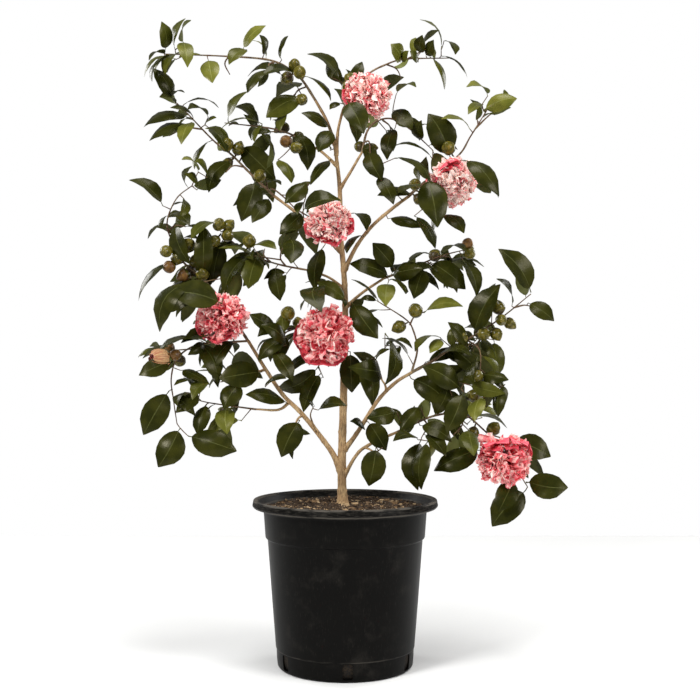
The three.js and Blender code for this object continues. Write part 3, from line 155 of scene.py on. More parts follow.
MASSES = (
    Mass("foot_leaves", "foot_spur", 32, (1.4, 1), ((50, -10, 380), (56, -16, 380), (66, -20, 388)),
         reach=((45, -15, 322), (96, -10, 392), (40, -5, 425), (75, 0, 425))),
    Mass("inner_right_leaves", "inner_spur", 30, (1.5, 1), ((66, 10, 506), (62, 4, 520), (50, 0, 545)),
         reach=((30, -5, 540), (40, 0, 462), (85, 0, 480), (60, 5, 568))),
    Mass("low_hanging_leaves", "hanging_spur", 26, (1.5, 1), ((-88, 0, 430), (-92, -8, 418),
         (-97, -14, 405)), reach=((-118, -10, 368), (-96, -20, 373), (-62, -5, 410))),
    Mass("low_rising_leaves", "rising_spur", 27, (1.5, 1), ((-58, 0, 430), (-62, -6, 445), (-56, -12, 460)),
         reach=((-42, -10, 522), (0, -10, 468), (-75, -5, 475))),
    Mass("left_knot_leaves", "knot_spur", 24, (1.5, 1), ((-176, 16, 515), (-200, 5, 508), (-222, -4, 503)),
         reach=((-268, -5, 545), (-228, -15, 458), (-165, 5, 545), (-282, 10, 520))),
    Mass("low_side_leaves", "low_side_bough", 25, (1.7, 1), ((-160, 10, 454), (-203, 6, 460), (-243, 4, 466),
         (-268, 2, 472)), shoots=((0.45, (-225, 40, 440)),), reach=((-312, 0, 450), (-268, -15, 390),
         (-208, 5, 412), (-110, 5, 468), (-285, 15, 505))),
    Mass("heart_left_leaves", "trunk", 19, (1.9, 1), ((0, 40, 650), (-25, 25, 658), (-52, 10, 668)),
         reach=((-50, 0, 735), (0, 5, 640), (-70, 25, 640), (-78, 5, 760)), buds=((1, 1),)),
    Mass("heart_right_leaves", "trunk", 20, (1.9, 1), ((0, 38, 612), (14, 22, 622), (30, 5, 612)),
         reach=((55, 0, 585), (35, 20, 655))),
    Mass("top_left_leaves", "left_leader", 11, (2.5, 1.1), ((-54, 58, 1018), (-79, 56, 1056),
         (-103, 54, 1076), (-141, 53, 1092), (-220, 51, 1098), (-330, 47, 1101)),
         shoots=((0.1, (-100, 80, 1010)), (0.62, (-215, 90, 1075)), (0.35, (-130, 20, 1060)),),
         reach=((-145, 50, 1160), (-335, 50, 1160), (-295, 45, 1170), (-280, 60, 1168), (-360, 30, 1060),
         (-245, 20, 1055), (-105, 60, 1140), (-30, 30, 1022), (-42, 15, 950), (-85, 25, 968)),
         buds=((0.22, 2),)),
    Mass("top_right_leaves", "right_leader", 12, (2.4, 1), ((-4, 60, 1002), (16, 64, 1038), (42, 66, 1069),
         (73, 62, 1085), (110, 56, 1094), (195, 52, 1095)), shoots=((0.12, (-25, 45, 1058)),
         (0.66, (150, 60, 1122)), (0.5, (105, 100, 1070)),), reach=((142, 50, 1172), (90, 45, 1132),
         (185, 30, 1045), (228, 50, 1062), (-65, 40, 1105), (205, 60, 1128), (135, 90, 1045)),
         bloom=Flower((39, 4, 1016), 50, (0.25, -0.9, 0.3)), buds=((0.14, 2),)),
    Mass("crown_left_leaves", "crown_left_bough", 13, (2.1, 1), ((-68, 63, 940), (-102, 64, 959),
         (-142, 65, 970), (-222, 64, 979)), shoots=((0.2, (-100, 30, 925)), (0.55, (-165, 100, 985)),),
         reach=((-190, 50, 1035), (-65, 20, 905), (-165, 40, 940), (-140, 50, 1000)), buds=((0.12, 2),
         (0.3, 1))),
    Mass("crown_right_leaves", "crown_right_bough", 14, (2.2, 1), ((31, 57, 924), (40, 56, 961),
         (58, 54, 980), (86, 53, 984), (118, 51, 965), (160, 46, 925)), shoots=((0.1, (45, 20, 910)),
         (0.4, (85, 90, 960)),), reach=((135, 30, 1040), (35, 20, 850), (100, 40, 860), (150, 30, 880),
         (0, 60, 895)), buds=((0.05, 2),)),
    Mass("upper_left_leaves", "upper_left_bough", 15, (2.5, 1), ((-130, 56, 843), (-175, 59, 886),
         (-210, 61, 921), (-243, 63, 947), (-296, 62, 1002), (-318, 60, 1022)),
         shoots=((0.05, (-75, 30, 800)), (0.3, (-215, 20, 880)), (0.7, (-320, 40, 950)),
         (0.35, (-150, 100, 925)),), reach=((-350, 50, 1085), (-372, 35, 975), (-360, 60, 940),
         (-130, 25, 872), (-190, 20, 798), (-155, 40, 790), (-230, 60, 1012), (-285, 60, 895),
         (-250, 20, 1000), (-50, 25, 852)), bloom=Flower((-29, -6, 788), 48, (-0.15, -0.85, 0.4)),
         buds=((0.02, 1), (0.4, 2))),
    Mass("upper_right_leaves", "upper_right_bough", 16, (2.8, 1), ((115, 50, 841), (138, 52, 862),
         (206, 56, 916), (230, 56, 953), (262, 54, 1004)), shoots=((0.08, (140, 20, 815)),
         (0.45, (228, 80, 880)), (0.8, (292, 50, 1010)),), reach=((265, 25, 842), (315, 50, 1025),
         (222, 40, 1052), (225, 50, 992), (165, 10, 782), (150, 40, 992), (95, 20, 770), (275, 70, 985),
         (75, 15, 872), (58, 10, 838)), bloom=Flower((191, 0, 857), 51, (0.45, -0.7, -0.55)),
         buds=((0.05, 1), (0.4, 1))),
    Mass("middle_left_leaves", "middle_left_bough", 77, (1.9, 1), ((-62, 44, 705), (-122, 45, 717),
         (-173, 46, 735), (-204, 46, 757), (-231, 44, 781)), shoots=((0.25, (-115, 15, 740)),
         (0.5, (-165, 10, 705)), (0.4, (-150, 90, 750)),), reach=((-262, 35, 845), (-225, 20, 682),
         (-172, 10, 668), (-118, 20, 648), (-95, 20, 775), (-275, 60, 780)), buds=((0.72, 1), (1, 4))),
    Mass("middle_right_leaves", "middle_right_bough", 18, (2.2, 1), ((70, 42, 691), (118, 42, 709),
         (172, 40, 731), (219, 36, 743)), shoots=((0.2, (115, 15, 690)), (0.7, (200, 90, 725)),),
         reach=((12, 20, 728), (45, 30, 752), (132, 20, 655), (222, 10, 690), (255, 20, 668),
         (215, 50, 790), (165, 20, 755)), buds=((0.62, 1), (1, 3))),
    Mass("centre_left_leaves", "trunk", 81, (2.5, 1.1), ((-1, 34, 560), (-42, 38, 582), (-87, 36, 598),
         (-120, 30, 602), (-158, 22, 612)), shoots=((0.15, (-30, 30, 530)), (0.6, (-110, -5, 580)),),
         reach=((-178, 15, 622), (-100, 10, 500), (10, -10, 487), (-150, 0, 560), (-120, 25, 640),
         (-60, 0, 520)), bloom=Flower((-35, -40, 586), 57, (0.05, -1, 0.05)), buds=((0.55, 1),)),
    Mass("left_leaves", "lower_left_bough", 52, (2.6, 1.1), ((-176, 35, 577), (-218, 42, 640),
         (-255, 44, 686), (-295, 46, 721), (-317, 48, 761), (-325, 48, 796), (-308, 50, 838),
         (-280, 50, 861)), shoots=((0.2, (-215, 20, 690)), (0.42, (-290, 90, 690)),
         (0.72, (-290, 40, 785)),), reach=((-392, 45, 873), (-380, 30, 655), (-330, 0, 590),
         (-345, 40, 795), (-280, 50, 905), (-185, 10, 640), (-225, 20, 745), (-240, 60, 860)),
         bloom=Flower((-219, -18, 618), 50, (-0.1, -0.9, 0.25)), buds=((0.48, 3), (0.4, 2))),
    Mass("left_hanging_leaves", "lower_left_bough", 53, (2.1, 1), ((-176, 35, 577), (-217, 22, 574),
         (-267, 14, 569), (-300, 8, 546), (-310, 0, 510), (-305, -6, 471), (-298, -12, 430)),
         shoots=((0.12, (-205, 60, 550)), (0.5, (-325, 50, 565)),), reach=((-372, 40, 525),
         (-365, 10, 405), (-335, -15, 355), (-200, -20, 385), (-345, 20, 602), (-222, 0, 556)),
         bud=Flower((-328, -12, 545), 20, (-0.6, -0.6, 0.1)), buds=((0.5, 2),)),
    Mass("right_leaves", "lower_right_bough", 58, (2.8, 1), ((120, 28, 520), (160, 30, 542), (189, 31, 562),
         (220, 32, 579), (280, 32, 617), (336, 30, 662)), shoots=((0.12, (190, 0, 478)),
         (0.45, (240, -5, 520)), (0.55, (235, 85, 560)), (0.85, (345, 60, 640)),), reach=((287, 30, 745),
         (382, 20, 612), (272, 15, 690), (240, 10, 690), (300, 45, 640), (205, -5, 475), (290, 0, 505),
         (275, -10, 435), (215, 15, 515), (150, 10, 455)), buds=((0.55, 2), (0.75, 2), (0.4, 2))),
    Mass("right_rising_leaves", "lower_right_bough", 29, (2, 1), ((120, 28, 520), (130, 24, 561),
         (122, 20, 597), (108, 16, 616), (58, 14, 648)), shoots=((0.55, (145, 15, 630)),),
         reach=((92, 10, 655), (220, 15, 640), (55, 0, 560), (165, 20, 598), (28, 20, 655)),
         buds=((0.6, 1),)),
    Mass("lowest_right_leaves", "lowest_right_bough", 31, (2.3, 1), ((92, 8, 413), (143, 8, 437),
         (178, 8, 446), (214, 8, 444), (249, 6, 416), (277, 0, 386), (302, -10, 351), (322, -18, 318)),
         shoots=((0.18, (135, -15, 405)), (0.4, (190, -25, 410)), (0.5, (205, 50, 470)),),
         reach=((405, -10, 315), (260, -30, 247), (272, -20, 275), (370, -5, 370), (160, -20, 345),
         (122, -10, 312), (185, -15, 365), (135, -5, 465), (250, 10, 480), (80, -15, 458),
         (345, 20, 425)), bloom=Flower((276, -52, 367), 54, (0.05, -0.75, -0.6)), buds=((0.52, 1),)),
)


@dataclass(frozen=True)
class LeafRule:
    """How large a leaf grows and how it lies, as lengths and as shares of its length."""

    aimed_longest: float = 98
    width_share: float = 0.47
    arch: float = 0.1
    arch_spread: float = 0.08
    width_spread: tuple[float, float] = (0.9, 1.08)
    thickness: float = 2.4
    sunk: float = 2
    root_share: float = 0.14
    face_up: float = 0.5
    tumble: float = 0.5
    reach_share: float = 0.56
    keel_along: float = 0.45
    keel_lift: float = 0.84


@dataclass(frozen=True)
class GrowthRule:
    """How stems carry shoots, twigs, leaves and buds."""

    ring_step: float = 30
    samples: int = 4
    first_node: tuple[float, float] = (0.4, 1)
    node_spread: tuple[float, float] = (0.8, 1.2)
    turn: float = 2.4
    retry_turn: float = 0.9
    retry_shrink: float = 0.06
    spread: float = 0.95
    end_leaf_spread: float = 0.35
    twig_share: float = 0.3
    twig_leaf_spread: float = 0.85
    twig_end_leaf_spread: float = 0.3
    tries: int = 7
    droop: float = 0.2
    flatness: float = 0.8
    back_facing: float = 0.35
    behind: float = 0.3
    in_front: float = -0.2
    shoot_radius: float = 1.7
    aim_back: float = 0.35
    aim_back_step: float = 0.12
    aimed_forward: float = 0.8
    aimed_size: tuple[float, float] = (0.85, 1)
    stalk_back: float = 0.2
    stalk_depth: float = 0.35
    bud_radius: tuple[float, float] = (7, 9)
    bud_stalk: float = 9
    bud_spread: float = 1.2
    bud_swells_from: float = 0.6
    bud_retry_turn: float = 0.35


@dataclass(frozen=True)
class Round:
    """One round of growth; one with no bare length starts at random and goes along the twigs too."""

    node_step: float
    bare_length: float
    twig_length: tuple[float, float]
    twig_radius: tuple[float, float]
    twig_spread: float
    twig_tries: int
    twig_leaves: int
    leaf_length: tuple[float, float]
    leaf_tries: int
    seed_offset: int = 0


@dataclass(frozen=True)
class KeepRule:
    """The crown's own space and the room that its pieces leave each other."""

    gap: float = 1.2
    own_gap: float = 0.4
    leaf_margin: float = 0.8
    bloom_gap: float = 5
    bloom_view: float = 0.82
    low: Point = (-392, -135, 245)
    high: Point = (410, 185, 1172)
    over_pot: float = 306
    pot_reach: float = 190
    outline_depth: float = 50
    inset: float = 6
    covered: float = 0.62


@dataclass(frozen=True)
class ShownRule:
    """How the leaves and buds that the photograph shows are fitted in with what the rule has grown."""

    depth: float = -25
    depth_weight: float = 0.15
    same_tip: float = 22
    same_middle: float = 17
    over: float = 0.35
    end_reach: float = 3
    stalk: float = 5
    forward: float = 3
    forward_share: float = 0.2
    longer: float = 1.03
    longest_tilted: float = 62
    most_tilt: float = 1.5
    width_share: float = 0.47
    broadest: float = 0.57
    narrowest: float = 0.17
    roll_share: float = 0.85
    face_up: float = 0.3
    arch: tuple[float, float] = (0.09, 0.17)
    shifts: tuple[float, ...] = (0, -10, -20, 10, -30, 20, -40, -50, -60)
    root_shift: float = 0.45
    twig_step: float = 6
    bud_clear: float = 15
    bud_reach: float = 24
    bud_stalk: float = 48
    bud_steps: tuple[float, ...] = (0, -6, -12)
    bud_places: tuple[float, ...] = (-26, -20, -14, -8)
    young_reach: float = 22
    ages: tuple[float, ...] = (0.72, 0.24, 0.04)
    window_side: float = 0.35
    window_shares: tuple[float, ...] = (0.3, 0.5, 0.75)
    spray: int = 3


LEAF, GROWTH, KEEP, SHOWN = LeafRule(), GrowthRule(), KeepRule(), ShownRule()
FIRST = Round(32, 16, (26, 56), (1.4, 1.2), 0.85, 7, 3, (62, 102), 7)
FINER = Round(15, 0, (14, 34), (1.0, 0.8), 1, 1, 2, (38, 70), 4, 500)
WOOD_STEP = 42
COVER_STEP = 5.0
COVER_CORNER = (-500.0, 150.0)
COVER_SQUARES = (210, 220)
COVER_ALONG = (0.12, 0.95, 15)
COVER_ACROSS = 7
FLARE_EXTRA = 3.6
FLARE_HEIGHT = 13
FLARE_RINGS = (0.3, 0.65)
LEAF_RIM = np.array(((0, 0), (0.32, 0.5), (0.69, 0.45), (1, 0), (0.48, -0.52)))
LEAF_TIP, LEAF_BOTTOM = 3, 5
RIM_FROM = np.arange(5)
RIM_TO = (RIM_FROM + 1) % 5
LEAF_FACES = np.array(((0, 1, 4), (1, 2, 4), (2, 3, 4), (5, 1, 0), (5, 2, 1), (5, 3, 2), (5, 4, 3),
                       (5, 0, 4)))
PROBE_ENDS = np.array(((1, 1), (2, 2), (3, 3), (4, 4), (5, 5), (1, 2), (5, 3), (0, 5), (2, 3), (3, 4),
                       (4, 0)))
PROBE_SHARES = np.array((0, 0, 0, 0, 0, 0.5, 0.5, 0.6, 0.5, 0.4, 0.4))[:, None]


class Seeded:
    """Repeatable random numbers from 0 to 1, the same as in the part's source."""

    def __init__(self, seed: int) -> None:
        """Starts from a whole number."""
        self.state = (seed * 2654435761) % 2 ** 32

    def next(self) -> float:
        """Returns the next number from 0 to 1."""
        self.state = (self.state * 1664525 + 1013904223) % 2 ** 32
        return self.state / 2 ** 32

    def between(self, low: float, high: float) -> float:
        """Returns the next number between two others."""
        return low + (high - low) * self.next()


def length_of(v: Array) -> Any:
    """Returns the lengths of vectors, along the last axis."""
    return np.sqrt((v * v).sum(-1))


def unit(v: Array) -> Array:
    """Returns vectors scaled to length 1."""
    return v / length_of(v)[..., None]


def dot(a: Array, b: Array) -> Array:
    """Returns the products of vectors, along the last axis."""
    return (a * b).sum(-1)


def perpendicular(direction: Array, guide: Array) -> Array:
    """Returns the unit part of a guide that is square to a unit direction."""
    return unit(guide - direction * dot(direction, guide)[..., None])


def mix(a: Any, b: Any, share: Any) -> Any:
    """Returns what lies a share of the way from a to b."""
    return a + (b - a) * share


def round_angles(count: int) -> Array:
    """Returns angles spread evenly round a circle."""
    return np.arange(count) * 2 * math.pi / count


def smooth_line(points: Array, step: float) -> Array:
    """A smooth line: between two points a cubic, its slopes there half the step between their neighbours.

    Args:
        points: The places that the line runs through.
        step: The distance between samples.

    Returns:
        The samples.
    """
    padded = np.vstack((2 * points[0] - points[1], points, 2 * points[-1] - points[-2]))
    line = []
    for before, start, end, after in zip(padded, padded[1:], padded[2:], padded[3:]):
        pieces = max(1, math.floor(length_of(end - start) / step + 0.5))
        first, last = 0.5 * (end - before), 0.5 * (after - start)
        t = (np.arange(pieces) / pieces)[:, None]
        line.append(start + first * t + (3 * (end - start) - 2 * first - last) * t ** 2
                    + (2 * (start - end) + first + last) * t ** 3)
    return np.vstack((*line, points[-1:]))


def bent_line(start: Array, heading: Array, end: Array, step: float) -> Array:
    """A quadratic curve that leaves a start along a heading and bends round to its end.

    Args:
        start: Where it starts.
        heading: The unit direction that it leaves in.
        end: Where it ends.
        step: The distance between samples.

    Returns:
        The samples.
    """
    reach = length_of(end - start)
    middle = start + unit(heading + unit(end - start)) * reach * 0.5
    pieces = max(2, math.floor(reach / step + 0.5))
    t = (np.arange(pieces + 1) / pieces)[:, None]
    return (1 - t) ** 2 * start + 2 * (1 - t) * t * middle + t ** 2 * end


def subdivided(line: Array, pieces: int) -> Array:
    """Returns the same straight-sided line with more points on it."""
    t = (np.arange(pieces) / pieces)[None, :, None]
    return np.vstack((mix(line[:-1, None, :], line[1:, None, :], t).reshape(-1, 3), line[-1:]))


def line_length(line: Array) -> float:
    """Returns the length of a line."""
    return float(length_of(np.diff(line, axis=0)).sum())


def along(line: Array, distance: float) -> tuple[Array, Array]:
    """The place and heading at a distance along a line.

    Args:
        line: The line's points.
        distance: The distance from its start.

    Returns:
        The point and the unit heading there.
    """
    left = max(0.0, distance)
    steps = np.diff(line, axis=0)
    for i, step in enumerate(steps):
        span = length_of(step)
        if left <= span or i == len(steps) - 1:
            break
        left -= span
    return line[i] + step * min(1, left / span), unit(step)


def nearest_index(line: Array, point: Array) -> int:
    """Returns which of a line's points lies nearest to a place."""
    return int(np.argmin(length_of(line - point)))


def even_taper(line: Array, radius: tuple[float, float]) -> Array:
    """Returns a radius for each point of a line, changing evenly from its start to its end."""
    return mix(radius[0], radius[1], np.arange(len(line)) / (len(line) - 1))


def flared(radii: Array, heights: Array) -> Array:
    """Returns the trunk's radii with its root flare, which dies away with height above the ground."""
    return radii + FLARE_EXTRA * np.exp(-heights / FLARE_HEIGHT)


@dataclass
class LaidLimb:
    """A limb's middle line as coarse and as fine points, with its radii."""

    plan: Limb
    points: Array
    line: Array
    fine: Array
    radii: Array


def lay_out_limbs() -> dict[str, LaidLimb]:
    """Lays out the bare wood, each limb starting on the middle line of the one that carries it.

    Returns:
        The limbs by name.
    """
    laid: dict[str, LaidLimb] = {}
    for plan in LIMBS:
        points = np.array(plan.route, float)
        if plan.parent:
            parent = laid[plan.parent].fine
            points[0] = parent[nearest_index(parent, points[0])]
        line = smooth_line(points, WOOD_STEP)
        if not plan.parent:
            line = np.vstack((line[:1], mix(line[0], line[1], np.array(FLARE_RINGS)[:, None]), line[1:]))
        radii = even_taper(line, plan.radius)
        if not plan.parent:
            radii = flared(radii, line[:, 2] - line[0, 2])
        laid[plan.name] = LaidLimb(plan, points, line, subdivided(line, 6), radii)
    return laid


def segment_gap_sq(p1: Array, q1: Array, p2: Array, q2: Array) -> Array:
    """The squared distance between pairs of straight pieces.

    The nearest place on the first endless line is held to its piece and answered by the nearest on the
    second, and where that runs off its end the first is found again from there.

    Args:
        p1: Starts of the first pieces.
        q1: Their ends.
        p2: Starts of the second pieces.
        q2: Their ends.

    Returns:
        The squared distances.
    """
    d1, d2, r = q1 - p1, q2 - p2, p1 - p2
    a, e, f = dot(d1, d1), dot(d2, d2), dot(d2, r)
    c, b = dot(d1, r), dot(d1, d2)
    whole = a * e - b * b
    s = np.where(whole != 0, np.clip((b * f - c * e) / np.where(whole == 0, 1, whole), 0, 1), 0)
    t = (b * s + f) / e
    s = np.where(t < 0, np.clip(-c / a, 0, 1), np.where(t > 1, np.clip((b - c) / a, 0, 1), s))
    away = p1 + d1 * s[..., None] - p2 - d2 * np.clip(t, 0, 1)[..., None]
    return dot(away, away)


def face_gap_sq(point: Array, faces: Sequence[Array]) -> Array:
    """The squared distance from points to triangles: that to the plane over the face, else to an edge.

    Args:
        point: The points.
        faces: The first, second and third corners.

    Returns:
        The squared distances.
    """
    a, b, c = faces
    normal = np.cross(b - a, c - a)
    inside, edges = True, math.inf
    for start, end in ((a, b), (b, c), (c, a)):
        side, away = end - start, point - start
        inside = inside & (dot(np.cross(side, away), normal) >= 0)
        away = away - side * np.clip(dot(away, side) / dot(side, side), 0, 1)[..., None]
        edges = np.minimum(edges, dot(away, away))
    return np.where(inside, dot(point - a, normal) ** 2 / dot(normal, normal), edges)


def pierces(start: Array, end: Array, faces: Sequence[Array]) -> Array:
    """Whether straight pieces pass through triangles, from either side.

    Args:
        start: Starts of the pieces.
        end: Ends of the pieces.
        faces: The triangles' first, second and third corners.

    Returns:
        True where a piece passes through.
    """
    a, b, c = faces
    one, two, back = b - a, c - a, start - a
    normal = np.cross(one, two)
    facing = dot(end - start, normal)
    sign, size = np.sign(facing), np.abs(facing)
    first = sign * dot(end - start, np.cross(back, two))
    second = sign * dot(end - start, np.cross(one, back))
    depth = -sign * dot(back, normal)
    over_face = (size > 0) & (first >= 0) & (second >= 0) & (first + second <= size)
    return over_face & (depth >= 0) & (depth <= size)


def faces_of(shell: Array) -> list[Array]:
    """Returns the first, second and third corners of each face of leaf shells."""
    return [shell[..., LEAF_FACES[:, k], :] for k in range(3)]


def shells_cross(shell: Array, others: Array) -> bool:
    """Whether the rim of one leaf shell pierces any of the others, or theirs pierces it.

    Args:
        shell: The one.
        others: The others.

    Returns:
        True if one does.
    """
    theirs = [corner[:, None] for corner in faces_of(others)]
    mine = [corner[None, None] for corner in faces_of(shell)]
    return bool(pierces(shell[RIM_FROM][None, :, None], shell[RIM_TO][None, :, None], theirs).any()
                or pierces(others[:, RIM_FROM, None], others[:, RIM_TO, None], mine).any())


def rods_touch(start: Array, end: Array, reach: Array, shells: Array) -> bool:
    """Whether any straight stem comes within reach of a leaf shell.

    Args:
        start: Starts of the stems, one for each shell or one for all.
        end: Their ends.
        reach: The distance that counts as touching.
        shells: The leaf shells, one for each stem or one for all.

    Returns:
        True if one does.
    """
    limit = (reach ** 2)[..., None]
    start, end, faces = start[..., None, :], end[..., None, :], faces_of(shells)
    near_rim = segment_gap_sq(shells[..., RIM_FROM, :], shells[..., RIM_TO, :], start, end) < limit
    near_face = face_gap_sq(end, faces) < limit
    return bool(near_rim.any() or near_face.any() or pierces(start, end, faces).any())


class Age(Enum):
    """How old a leaf is, which sets its green."""

    DARK = "dark"
    GREEN = "green"
    YOUNG = "young"


@dataclass
class Leaf:
    """A leaf from its root on a twig to its tip."""

    root: Array
    tip: Array
    normal: Array
    width: float
    arch: float
    age: Age = Age.DARK
    shown: bool = False

    @property
    def middle(self) -> Array:
        """Returns the place halfway between root and tip."""
        return mix(self.root, self.tip, 0.5)

    @property
    def reach(self) -> float:
        """Returns the radius round the middle that holds the whole leaf."""
        return length_of(self.tip - self.root) * LEAF.reach_share + KEEP.leaf_margin

    @property
    def side(self) -> Array:
        """Returns the unit direction across the leaf."""
        return np.cross(unit(self.tip - self.root), self.normal)

    def points(self) -> Array:
        """The leaf as five points of its rim, arched along its length, and a keel below.

        Returns:
            Six points.
        """
        chord, share = self.tip - self.root, LEAF_RIM[:, :1]
        rim = (self.root + chord * share + self.side * LEAF_RIM[:, 1:] * self.width
               + self.normal * self.arch * 4 * share * (1 - share))
        lift = self.arch * LEAF.keel_lift - LEAF.thickness
        return np.vstack((rim, self.root + chord * LEAF.keel_along + self.normal * lift))

    def shell(self, root_share: float) -> Array:
        """The leaf's points, each moved a margin away from the keel.

        Args:
            root_share: How far along the leaf the shell starts.

        Returns:
            Six points.
        """
        points = self.points()
        points[0] = mix(points[0], points[LEAF_TIP], root_share)
        points[:LEAF_BOTTOM] += unit(points[:LEAF_BOTTOM] - points[LEAF_BOTTOM]) * KEEP.leaf_margin
        return points


def make_leaf(rng: Seeded, root: Array, tip: Array, outward: float) -> Leaf:
    """A leaf whose upper side faces up, outwards and a little at random.

    Args:
        rng: The mass's random numbers.
        root: Where it starts.
        tip: Where it ends.
        outward: 1 to face back, -1 to face front.

    Returns:
        The leaf.
    """
    length = length_of(tip - root)
    tumble = np.array([rng.between(-1, 1) for _ in range(3)]) * LEAF.tumble
    normal = perpendicular(unit(tip - root), UP * LEAF.face_up + BACK * outward + tumble)
    width = length * LEAF.width_share * rng.between(*LEAF.width_spread)
    return Leaf(root, tip, normal, width, length * (LEAF.arch + LEAF.arch_spread * rng.next()))


class Rows:
    """Rows of numbers that can be added to, kept as one array."""

    def __init__(self, *shape: int) -> None:
        """Starts empty, with rows of a shape."""
        self.data, self.count = np.zeros((256, *shape)), 0

    def add(self, row: Any) -> None:
        """Adds a row.

        Args:
            row: Its numbers.
        """
        if self.count == len(self.data):
            self.data = np.concatenate((self.data, np.zeros_like(self.data)))
        self.data[self.count] = row
        self.count += 1

    @property
    def all(self) -> Array:
        """Returns the rows so far."""
        return self.data[:self.count]


def seen(points: Array) -> Array:
    """Returns the places across and up at which the eye sees points against the plant's middle plane."""
    scale = PICTURE.distance / (PICTURE.distance + points[..., 1])
    return np.stack((points[..., 0] * scale, PICTURE.height + (points[..., 2] - PICTURE.height) * scale), -1)


def placed(across: float, up: float, depth: float) -> Array:
    """Returns the point at a depth that the eye sees at a place on the plant's middle plane."""
    scale = (PICTURE.distance + depth) / PICTURE.distance
    return np.array((across * scale, depth, PICTURE.height + (up - PICTURE.height) * scale))


class Cover:
    """How far forward leaves reach in each small square of the front view."""

    def __init__(self, leaves: Sequence[Leaf]) -> None:
        """Starts with some leaves.

        Args:
            leaves: The leaves.
        """
        self.front = np.full(COVER_SQUARES, np.inf)
        for leaf in leaves:
            squares = self.squares(leaf)
            self.front[squares] = np.minimum(self.front[squares], leaf.middle[1])

    @staticmethod
    def index(places: Array) -> tuple[Array, Array]:
        """Returns the squares that places lie in."""
        index = ((places.reshape(-1, 2) - COVER_CORNER) / COVER_STEP).astype(int)
        return index[:, 0], index[:, 1]

    def squares(self, leaf: Leaf) -> tuple[Array, Array]:
        """The squares under a leaf, taken as an oval, by sampling along and across it.

        Args:
            leaf: The leaf.

        Returns:
            The squares' columns and rows.
        """
        share, across = np.meshgrid(np.linspace(*COVER_ALONG), np.linspace(-1, 1, COVER_ACROSS))
        half = (np.sqrt(4 * share * (1 - share)) * across)[..., None]
        return self.index(seen(leaf.root + (leaf.tip - leaf.root) * share[..., None]
                               + leaf.side * leaf.width / 2 * half))

    def behind(self, leaf: Leaf) -> float:
        """Returns how much of a leaf lies behind others."""
        return float((self.front[self.squares(leaf)] < leaf.middle[1]).mean())

    def over(self, leaf: Leaf) -> float:
        """Returns how much of a leaf lies in front of others."""
        front = self.front[self.squares(leaf)]
        return float(((front >= leaf.middle[1]) & (front < np.inf)).mean())


